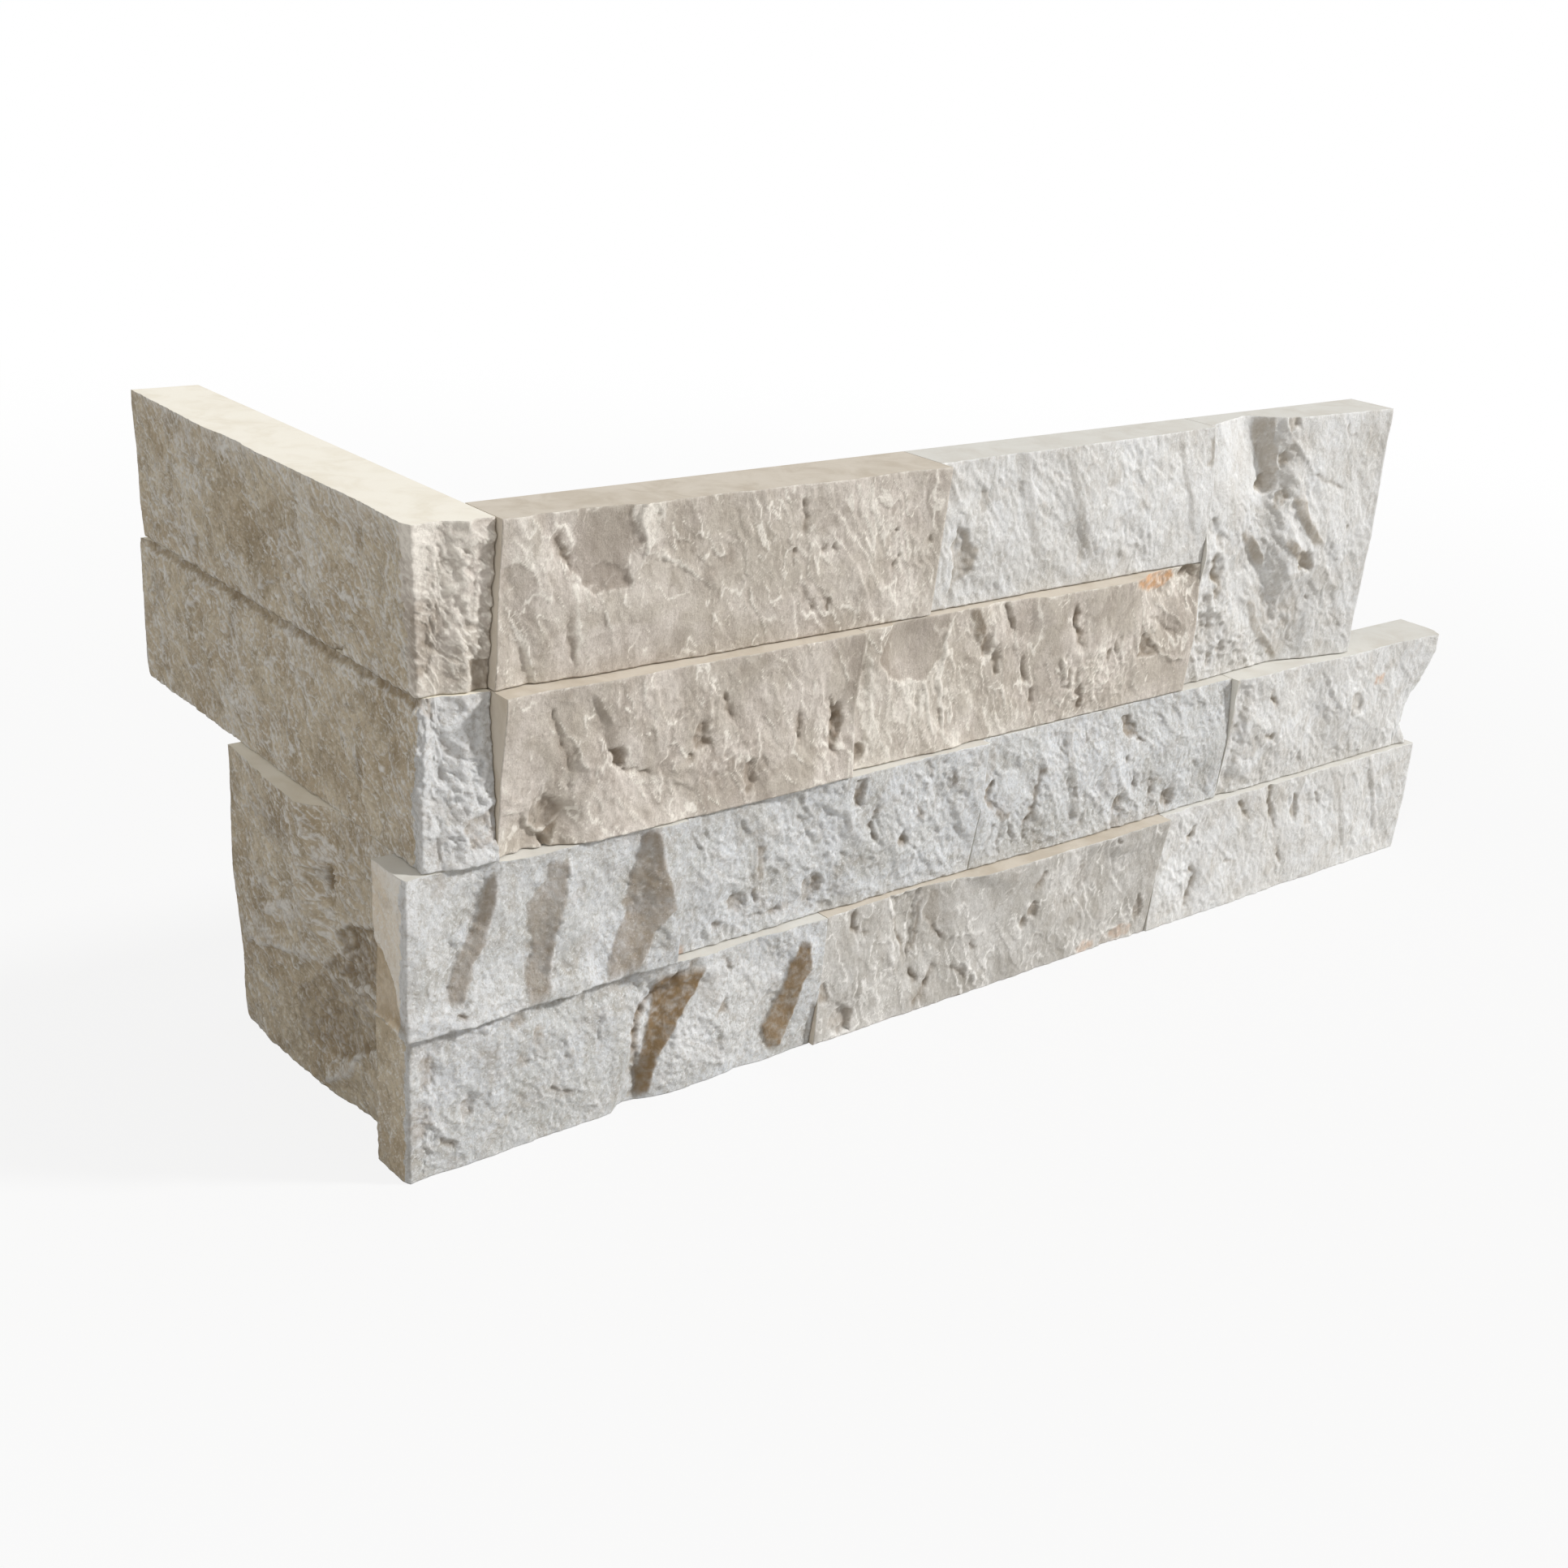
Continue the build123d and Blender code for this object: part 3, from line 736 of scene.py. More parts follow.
TAUPE = SplitFinish(
    "taupe_split_face", grain=40.0, stretch=2.0,
    flakes=((22.0, 1.0), (8.0, 0.7), (3.0, 0.4), (1.4, 0.25)), shells=((18.0, 0.6), (8.0, 0.4)),
    grit=0.16, coarse=0.7, steep=1.5,
    body=linear(196, 180, 154), pale=linear(222, 210, 187), deep=linear(146, 130, 105),
    brown=linear(128, 110, 86), spark=linear(242, 240, 235), rim=1.2, slot="taupe_stone",
)
HONEY = replace(
    TAUPE, name="honey_split_face", body=linear(224, 207, 180), pale=linear(236, 222, 199),
    deep=linear(194, 174, 144), coarse=0.5, tone=0.2,
)
SAWN = {
    "pale_grey_stone": ("pale_sawn_face", linear(217, 215, 208), linear(204, 199, 189)),
    "beige_stone": ("beige_sawn_face", linear(208, 199, 185), linear(184, 172, 154)),
    "taupe_stone": ("cream_sawn_face", linear(244, 239, 226), linear(230, 222, 204)),
}


def sawn_face(slot: str) -> bpy.types.Material:
    """The sawn faces' material for a slot, made once."""
    name, body, deep = SAWN[slot]
    return bpy.data.materials.get(name) or StoneShader(name).sawn(body, deep)


@dataclass(frozen=True)
class Packed:
    """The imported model: its nodes, its box, and the panel's outer corner, in metres."""

    nodes: dict[str, bpy.types.Object]
    box: tuple[np.ndarray, np.ndarray]
    corner: np.ndarray


@dataclass
class Stone:
    """One split stone: its place, how it broke, and the piece that shows it.

    start and end run along its leg, low and high are its beds, and seed picks its own pattern.
    turn says which of its ends is split too, and end_finish how that end looks where it differs.
    """

    model: Packed
    leg: Leg
    node: str
    start: float
    end: float
    low: float
    high: float
    finish: SplitFinish
    seed: int
    turn: Turn = Turn.NONE
    end_finish: SplitFinish | None = None

    @property
    def back(self) -> float:
        """How far the sawn back lies behind the leg's face plane."""
        return LONG_BACK if self.leg is Leg.LONG else SHORT_BACK

    def wave(self, s: np.ndarray, z: np.ndarray, seed: int, size: float,
             tall: float | None = None) -> np.ndarray:
        """Gradient noise of the stone's own pattern."""
        return Grit.wave(s, z, self.seed + seed, size, tall)

    def world(self, u: np.ndarray | float, p: np.ndarray | float, z: np.ndarray | float) -> np.ndarray:
        """Places along, proud and up, as points in metres in the row's frame.

        Args:
            u: Place along the leg.
            p: How far out of the leg's face plane.
            z: Height.

        Returns:
            One point a row.
        """
        place = (u, -p, z) if self.leg is Leg.LONG else (-p, u, z)
        return np.stack(np.broadcast_arrays(*place), -1) * MM + self.model.corner

    def path(self) -> np.ndarray:
        """The line that the face follows in plan: an origin and a direction at each step.

        Returns:
            Rows of along, proud, direction along, direction out and travelled length.
        """
        radius, hinge, room, proud = 5.0, -6.0, 2.0, 4.0
        angles = np.arange(0.0, math.pi / 2, PITCH / (radius + proud))
        rows: list[tuple[float, float, float, float]] = []
        first, last = self.start, self.end
        if self.turn is Turn.START:
            first = self.start + radius + room
            rows += [(first, p, -1.0, 0.0) for p in np.arange(-self.back, hinge, PITCH)]
            rows += [(first, hinge, -math.cos(angle), math.sin(angle)) for angle in angles]
        if self.turn is Turn.END:
            last = self.end - radius - room
        count = max(int(round((last - first) / PITCH)), 2)
        rows += [(u, hinge, 0.0, 1.0) for u in np.linspace(first, last, count + 1)]
        if self.turn is Turn.END:
            rows += [(last, hinge, math.sin(angle), math.cos(angle)) for angle in angles[1:]]
            rows += [(last, p, 1.0, 0.0) for p in np.arange(hinge, -self.back, -PITCH)]
            rows.append((last, -self.back, 1.0, 0.0))
        return np.column_stack([np.array(rows), np.arange(len(rows)) * PITCH])

    def base(self, line: np.ndarray, levels: np.ndarray) -> np.ndarray:
        """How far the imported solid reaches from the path, read on a coarse net and smoothed.

        Round a corner the reach is smoothed as a square corner's, so that its arris stays sharp.

        Args:
            line: The path.
            levels: The heights of the grid's rows.

        Returns:
            The reach for each path step and level.
        """
        solid = bmesh.new()
        solid.from_mesh(self.model.nodes[self.node].data)
        tree = BVHTree.FromBMesh(solid)
        solid.free()
        every, inset, off, longest = 4, 0.15, 0.06, 0.07
        steps, rows = (np.unique(np.append(np.arange(0, n, every), n - 1)) for n in (len(line), len(levels)))
        net = np.zeros((len(steps), len(rows)))
        for i, s in enumerate(steps):
            u, p, du, dp, _ = line[s]
            if du == 0.0:
                u = min(max(u, self.start + inset), self.end - inset)
            if dp == 0.0:
                p = max(p, -self.back + inset)
            way = Vector(self.world(du, dp, 0.0) - self.model.corner).normalized()
            for j, r in enumerate(rows):
                z = min(max(levels[r], self.low + inset), self.high - inset)
                hit = tree.ray_cast(Vector(self.world(u, p, z)) + way * off, -way, longest)
                net[i, j] = (off - hit[3]) / MM if hit[3] is not None else np.nan
        missed = np.isnan(net)
        if missed.any():
            log.info("%s: %d of %d rays missed", self.node, missed.sum(), net.size)
            net[missed] = np.nanmedian(net)
        square = np.abs(line[:, 2:4]).max(1)
        net = blend(blend(net * square[steps, None], 2), 2)
        wide = np.array([np.interp(np.arange(len(line)), steps, net[:, j]) for j in range(len(rows))])
        index = np.arange(len(levels))
        full = np.array([np.interp(index, rows, wide[:, i]) for i in range(len(line))])
        return full / square[:, None]

    def roughen(self, s: np.ndarray, z: np.ndarray, relief: Relief) -> tuple[np.ndarray, np.ndarray]:
        """The stone's own splitting pattern: flakes of several sizes, grit and crumbs.

        Args:
            s: Length along the path.
            z: Height.
            relief: The face, which is smooth or crumbly in places.

        Returns:
            The lift, and the change of tone at each point, which includes the shells' rims painted pale,
            partly as crushed stone and partly as painted highlight.
        """
        f, calm = self.finish, relief.calm
        s = s + 1.6 * self.wave(s, z, 40, 7) + 0.5 * self.wave(s, z, 41, 2)
        z = z + 1.6 * self.wave(s, z, 42, 7) + 0.5 * self.wave(s, z, 43, 2)
        a = math.radians(f.grain)
        along = s * math.cos(a) + z * math.sin(a)
        across = -s * math.sin(a) + z * math.cos(a)
        if across.dot(s - s.mean()) < 0:
            across = -across
        lift, tones_and_rim_highlights = np.zeros_like(s), np.zeros_like(s)
        for k, (size, depth) in enumerate(f.flakes):
            shape, tone = Grit.flakes(across / size, along / (size * f.stretch), self.seed + 7 * k, f.steep)
            tones_and_rim_highlights += tone * f.tone * (1 - 0.5 * calm) * (1.0 if k < 2 else 0.5)
            strong = 0.3 + 1.2 * smooth(0.5 + 1.2 * self.wave(s, z, 60 + k, 23))
            lift += (shape - 0.6) * depth * (1 - calm * (0.7 if k == 0 else 0.9)) * strong
        for k, (size, depth) in enumerate(f.shells):
            sheet, rims = Grit.shells(across / size, along / (size * f.stretch), self.seed + 50 + 9 * k)
            lift += (sheet - 0.5) * depth * (1 - 0.8 * calm)
            strong = smooth(0.35 + 1.6 * self.wave(s, z, 70 + k, 8)) * (1.0 if k == 0 else 0.4)
            # shells' rims painted pale: partly crushed stone, partly painted highlight
            tones_and_rim_highlights += rims * strong * f.rim * (1 - 0.4 * calm)
        fine = self.wave(s, z, 80, 1.7) + 0.6 * self.wave(s, z, 81, 0.9)
        lift += fine * f.grit * (1 - 0.6 * calm)
        crumbs = Grit.flakes(s / 2.2, z / 2.2, self.seed + 90, 1.1)[0]
        crumbs += 0.5 * Grit.flakes(s / 1.2, z / 1.2, self.seed + 95, 1.1)[0]
        lift += relief.crumble * (crumbs - 1.0) * 0.9
        return lift, tones_and_rim_highlights

    def views(self, columns: np.ndarray, reach: np.ndarray, z: np.ndarray) -> list[Relief]:
        """The face as seen square on to the long leg and to the short leg.

        Args:
            columns: The path at each point.
            reach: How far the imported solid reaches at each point.
            z: Height of each point.

        Returns:
            The front view and the side view, which share their finish values.
        """
        du, dp = columns[:, 2], columns[:, 3]
        u, p = columns[:, 0] + du * reach, columns[:, 1] + dp * reach
        long = self.leg is Leg.LONG
        place = (u, -p) if long else (-p, u)
        facing = (-du, dp) if long else (dp, -du)
        grazing, turning = 0.35, 0.4
        lift_and_finish = [np.zeros_like(z) for _ in range(6)]
        found = []
        for wide, deep in ((0, 1), (1, 0)):
            k = -EYE[deep] / (place[deep] - EYE[deep])
            weight = smooth((facing[deep] - grazing) / turning)
            found.append(Relief(EYE[wide] + (place[wide] - EYE[wide]) * k,
                                EYE[2] + (z - EYE[2]) * k, weight, *lift_and_finish))
        return found

    def build(self) -> None:
        """Makes the stone's piece and sets it in the place of its node."""
        line = self.path()
        rows = max(int(round((self.high - self.low) / PITCH)), 2)
        levels = np.linspace(self.low, self.high, rows + 1)
        shape = (len(line), rows + 1)
        columns = np.repeat(line, shape[1], axis=0)
        reach = self.base(line, levels).ravel()
        s, z = columns[:, 4], np.tile(levels, shape[0])
        front, side = self.views(columns, reach, z)
        for view, breaks in ((front, FRONT), (side, SIDE)):
            for feature in breaks.get(self.node, ()):
                feature.carve(view)
        rough, tones_and_rim_highlights = self.roughen(s, z, front)
        edge = np.minimum(z - self.low, self.high - z)
        # bed edges painted pale: partly frayed, crushed stone and partly painted highlight
        frayed_and_highlit = 0.8 * np.exp(-edge / 0.5) * np.clip(0.6 + self.wave(s, z, 35, 3, 40), 0, 1)
        front.light[:] += tones_and_rim_highlights + frayed_and_highlit
        before = FAR if self.turn is Turn.START else s
        after = FAR if self.turn is Turn.END else s.max() - s
        held = 0.85 * np.exp(-np.minimum(before, after) / 1.6)
        lift = (front.lift + rough * (1 - 0.6 * np.exp(-edge / 2.2))) * (1 - held)
        chips = 0.35 + 1.5 * self.wave(s, z, 30, 5, 40) + 0.8 * self.wave(s, z, 31, 1.8, 40)
        lift -= np.clip(chips, 0.05, 1.2) * np.exp(-edge / 0.7) * self.finish.chip
        du, dp = columns[:, 2], columns[:, 3]
        points = self.world(columns[:, 0] + du * (reach + lift), columns[:, 1] + dp * (reach + lift), z)
        shy = 2e-5
        points = np.clip(points, self.model.box[0] + shy, self.model.box[1] - shy)
        self.shade(front, lift.reshape(shape))
        ragged = 0.25 * self.wave(s, z, 33, 4) + 0.15 * self.wave(s, z, 34, 1.5)
        limit = 0.3 if self.leg is Leg.LONG else -0.45
        self.mesh(points, front, np.abs(du) - np.abs(dp) + ragged > limit, shape)

    def shade(self, relief: Relief, lift: np.ndarray) -> None:
        """Paints shade and light into the colour: darkens hollows and the breaks that look left, away from
        the key lamp, lightens proud places, and paints arrises pale, partly as crushed stone and partly as
        painted highlight.

        Args:
            relief: The face's finish values, changed in place.
            lift: How far the grid's points stand out.
        """
        soft = blend(blend(lift))
        wide, rounds = soft, 40
        for _ in range(rounds):
            wide = blend(wide)
        slope = np.gradient(soft, PITCH, axis=0).ravel()
        hollow = (wide - soft).ravel()
        # painted shade on breaks that look away from the key lamp and in hollows, added into the stain value
        leftward_painted_shade = smooth((slope - 0.25) / 0.9) * self.finish.shade
        tint = np.maximum(leftward_painted_shade, smooth((hollow - 0.12) / 0.8) * 0.38)
        relief.stain_and_shade[:] = np.clip(relief.stain_and_shade + tint * (1 - relief.stain_and_shade), 0, 1)
        # arrises painted pale, partly crushed stone and partly painted highlight; hollows painted darker and
        # proud places lighter, as painted shade and light
        sharp = smooth(((lift - blend(lift)).ravel() - 0.012) / 0.07) * 0.65
        relief.light[:] = np.clip(relief.light + sharp - 0.55 * np.clip(hollow, -0.6, 0.6), -1, 1)

    def mesh(self, points: np.ndarray, relief: Relief, turned: np.ndarray, shape: tuple[int, int]) -> None:
        """Turns the grid into a closed piece with sawn beds, ends and back.

        Args:
            points: Where each point of the grid goes.
            relief: The face's finish values.
            turned: Whether each point lies on the split end.
            shape: Path steps and levels.
        """
        bm = bmesh.new()
        bmesh.ops.create_grid(bm, x_segments=shape[0] - 1, y_segments=shape[1] - 1, size=0.5)
        place = np.array([v.co for v in bm.verts])
        column, row = (np.rint((place[:, k] + 0.5) * (shape[k] - 1)).astype(int) for k in (0, 1))
        order = column * shape[1] + row
        for vert, target in zip(bm.verts, points[order]):
            vert.co = target
        on_end = turned[order] & (self.end_finish is not None)
        split, end_split = 0, 2
        for face in bm.faces:
            face.smooth = True
            face.material_index = end_split if on_end[face.verts[0].index] else split
        grid = np.empty(shape, int)
        grid[column, row] = np.arange(len(order))
        self.close(bm, grid)
        mesh = bpy.data.meshes.new(self.node + "_split")
        bm.to_mesh(mesh)
        bm.free()
        for name in ("stain_and_shade", "rust", "light"):
            values = np.zeros(len(mesh.vertices), np.float32)
            values[: len(order)] = getattr(relief, name)[order]
            mesh.attributes.new(name, "FLOAT", "POINT").data.foreach_set("value", values)
        piece = bpy.data.objects.new(self.node + "_split", mesh)
        bpy.context.scene.collection.objects.link(piece)
        mesh.materials.append(self.finish.material())
        mesh.materials.append(sawn_face(self.finish.slot))
        if self.end_finish:
            mesh.materials.append(self.end_finish.material())
        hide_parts(self.node)
        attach(piece, "root")
        log.info("%s: %d faces", piece.name, len(mesh.polygons))

    def close(self, bm: bmesh.types.BMesh, grid: np.ndarray) -> None:
        """Adds the sawn faces behind the split face.

        Args:
            bm: The mesh with the split face.
            grid: The index of each point of the split face, by path step and level.
        """
        verts = list(bm.verts)
        sides = (grid[0], grid[-1], grid[:, 0], grid[:, -1])
        near, far, low, high = ([verts[i] for i in line] for line in sides)
        corners = []
        for turn, line, u in ((Turn.START, near, self.start), (Turn.END, far, self.end)):
            if self.turn is turn:
                corners += [line[0], line[-1]]
            else:
                corners += [bm.verts.new(self.world(u, -self.back, z)) for z in (self.low, self.high)]
        near_low, near_high, far_low, far_high = corners
        rings = [low + [far_low, near_low], high + [far_high, near_high]]
        back = [near_low, near_high, far_high, far_low]
        if self.turn is Turn.START:
            back = near + [far_high, far_low]
        else:
            rings.append(near + [near_high, near_low])
        if self.turn is Turn.END:
            back = far + [near_high, near_low]
        else:
            rings.append(far + [far_high, far_low])
        sawn = 1
        for ring in rings + [back]:
            pairs = [(a, b) for a, b in zip(ring, ring[1:] + ring[:1]) if a is not b]
            edges = [bm.edges.get(pair) or bm.edges.new(pair) for pair in pairs]
            for face in bmesh.ops.edgeloop_fill(bm, edges=edges, mat_nr=sawn)["faces"]:
                face.smooth = False
        bmesh.ops.recalc_face_normals(bm, faces=bm.faces[:])


@dataclass(frozen=True)
class Studio:
    """The pale floor, the soft lights and the camera at the photograph's angle."""

    heading: float = -40.474
    height: float = 21.818
    roll: float = 4.036
    lens: float = 45.81

    def place(self, thing: bpy.types.Object) -> None:
        """Puts a thing into the scene."""
        bpy.context.scene.collection.objects.link(thing)

    def camera(self, corner: np.ndarray) -> None:
        """Puts the camera where the photograph was taken from.

        Args:
            corner: The panel's outer corner.
        """
        a, e, r = (math.radians(v) for v in (self.heading, self.height, self.roll))
        back = Vector((math.sin(a) * math.cos(e), -math.cos(a) * math.cos(e), math.sin(e)))
        right = Vector((0, 0, 1)).cross(back).normalized()
        up = back.cross(right)
        turned = (right * math.cos(r) + up * math.sin(r), up * math.cos(r) - right * math.sin(r), back)
        data = bpy.data.cameras.new("photo_camera")
        data.lens = self.lens
        data.sensor_width = 36.0
        data.clip_start, data.clip_end = 0.01, 60.0
        camera = bpy.data.objects.new("photo_camera", data)
        spot = Matrix.Translation(Vector(corner + EYE * MM))
        camera.matrix_world = spot @ Matrix(turned).transposed().to_4x4()
        self.place(camera)
        bpy.context.scene.camera = camera

    def lamp(self, name: str, way: tuple[float, float, float], power: float, spread: float,
             colour: tuple[float, float, float]) -> None:
        """A soft sun.

        Args:
            name: Its name.
            way: Where it stands, seen from the panel.
            power: Its strength.
            spread: Its angle in degrees.
            colour: Its colour.
        """
        data = bpy.data.lights.new(name, "SUN")
        data.energy, data.angle, data.color = power, math.radians(spread), colour
        lamp = bpy.data.objects.new(name, data)
        lamp.rotation_mode = "QUATERNION"
        lamp.rotation_quaternion = Vector(way).to_track_quat("Z", "Y")
        self.place(lamp)

    def lights(self) -> None:
        """The key lamp from the right front, a weak fill, and the pale surround."""
        self.lamp("key", (0.70, -0.52, 0.56), 3.1, 7.0, (0.985, 0.99, 1.0))
        self.lamp("fill", (-0.62, -0.3, 0.5), 0.52, 30.0, (1.0, 0.98, 0.95))
        world = bpy.data.worlds.new("surround")
        world.use_nodes = True
        tree = Tree(world.node_tree)
        seen = tree.add("Background", {"Color": (1, 1, 1, 1)}).outputs[0]
        dim = {"Color": (1.0, 0.985, 0.96, 1), "Strength": 0.36}
        air = tree.fill(tree.nodes["Background"], dim).outputs[0]
        path = tree.add("LightPath").outputs
        straight = path["Is Camera Ray"]
        for ray in ("Is Glossy Ray", "Is Transmission Ray"):
            straight = tree.add("Math", {0: straight, 1: path[ray]}, operation="MAXIMUM").outputs[0]
        mix = tree.add("MixShader", {0: straight, 1: air, 2: seen}).outputs[0]
        tree.fill(tree.nodes["World Output"], {"Surface": mix})
        bpy.context.scene.world = world

    def floor(self) -> None:
        """A plain pale floor that keeps the panel's shadow and turns white further off."""
        bm = bmesh.new()
        bmesh.ops.create_grid(bm, x_segments=8, y_segments=8, size=15.0)
        mesh = bpy.data.meshes.new("floor")
        bm.to_mesh(mesh)
        bm.free()
        floor = bpy.data.objects.new("floor", mesh)
        self.place(floor)
        made = bpy.data.materials.new("pale_floor")
        made.use_nodes = True
        tree = Tree(made.node_tree)
        matt = {"Base Color": (0.62, 0.615, 0.605, 1), "Roughness": 0.9, "Specular IOR Level": 0.1}
        shader = tree.fill(tree.nodes["Principled BSDF"], matt).outputs[0]
        glow = tree.add("Emission", {"Color": (1, 1, 1, 1)}).outputs[0]
        place = tree.add("TexCoord").outputs["Object"]
        away = tree.add("VectorMath", {0: place}, operation="LENGTH").outputs["Value"]
        white = {0: tree.ramp(away, 0.15, 0.9, 0.86), 1: tree.add("LightPath").outputs["Is Camera Ray"]}
        seen = tree.add("Math", white, operation="MULTIPLY").outputs[0]
        mix = tree.add("MixShader", {0: seen, 1: shader, 2: glow}).outputs[0]
        tree.fill(tree.nodes["Material Output"], {"Surface": mix})
        mesh.materials.append(made)
        floor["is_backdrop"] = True


TOP = (112.8, 150.1)
SECOND = (75.2, 112.5)
THIRD = (37.6, 74.9)
BOTTOM = (0.0, 37.3)


@dataclass(frozen=True)
class LongLeg:
    """The twelve stones of the long leg, left to right in each course from the top."""

    model: Packed

    def build(self) -> None:
        """Builds the stones."""
        stone = partial(Stone, self.model, Leg.LONG)
        for made in (
            stone("top_left_stone", 17.3, 139, *TOP, BEIGE, 1100),
            stone("top_middle_stone", 139.3, 243, *TOP, WHITE, 1200),
            stone("tall_stone", 243.3, 319, SECOND[0], TOP[1], WHITE, 1300),
            stone("second_left_stone", 17.3, 116, *SECOND, BEIGE, 1400),
            stone("second_right_stone", 116.3, 243, *SECOND, BEIGE, 1500),
            stone("third_corner_stone", -5.2, 66, *THIRD, CHALK, 1600, Turn.START, HONEY),
            stone("third_left_stone", 66.3, 164, *THIRD, PALE, 1700),
            stone("third_right_stone", 164.3, 265.5, *THIRD, PALE, 1800),
            stone("third_end_stone", 265.8, 361.0, *THIRD, WHITE, 1900, Turn.END),
            stone("bottom_corner_stone", -4.6, 113, *BOTTOM, CHALK, 2000, Turn.START, TAUPE),
            stone("bottom_middle_stone", 113.3, 241, *BOTTOM, GREIGE, 2100),
            stone("bottom_end_stone", 241.3, 364, *BOTTOM, WHITE, 2200),
        ):
            made.build()


@dataclass(frozen=True)
class ShortLeg:
    """The three stones of the short leg, from the top."""

    model: Packed

    def build(self) -> None:
        """Builds the stones."""
        stone = partial(Stone, self.model, Leg.SHORT)
        for made in (
            stone("top_return_strip", 3.0, 143.7, *TOP, TAUPE, 3100, Turn.START, BEIGE),
            stone("second_return_strip", 0.0, 143.7, *SECOND, TAUPE, 3200, Turn.START, CHALK),
            stone("return_block", 13.9, 90.0, BOTTOM[0], THIRD[1], TAUPE, 3300),
        ):
            made.build()


def patch(left: float, low: float, right: float, high: float) -> Points:
    """An uneven rounded outline that fills a box.

    Args:
        left: The box's left side.
        low: Its lower side.
        right: Its right side.
        high: Its upper side.

    Returns:
        The outline.
    """
    wide, tall = right - left, high - low
    shares = ((0.35, -0.04), (0.85, 0.10), (1.04, 0.45), (0.9, 0.86),
              (0.55, 1.04), (0.12, 0.88), (-0.04, 0.5), (0.05, 0.12))
    return tuple((left + a * wide, low + b * tall) for a, b in shares)


def box(left: float, low: float, right: float, high: float) -> Points:
    """A four-cornered outline."""
    return ((left, low), (right, low), (right, high), (left, high))


def crack(width: float, depth: float, stain_and_shade: float, *points: tuple[float, float]) -> Line:
    """A crack through the points, painted dark: partly an iron tint, partly painted shade in the crack."""
    return Line(points, width, -depth, stain_and_shade=stain_and_shade)


def arris(width: float, rise: float, light: float, *points: tuple[float, float]) -> Line:
    """An arris through the points, painted pale: partly crushed stone, partly painted highlight."""
    return Line(points, width, rise, light=light)


def pit(place: tuple[float, float, float, float], sink: float, bowl: float, stain_and_shade: float,
        **more: float) -> Facet:
    """A rounded pit that fills a box of left, low, right and high, painted dark: partly an iron tint, partly
    painted shade in the pit.
    """
    return Facet(patch(*place), sink=sink, bowl=bowl, stain_and_shade=stain_and_shade, **more)


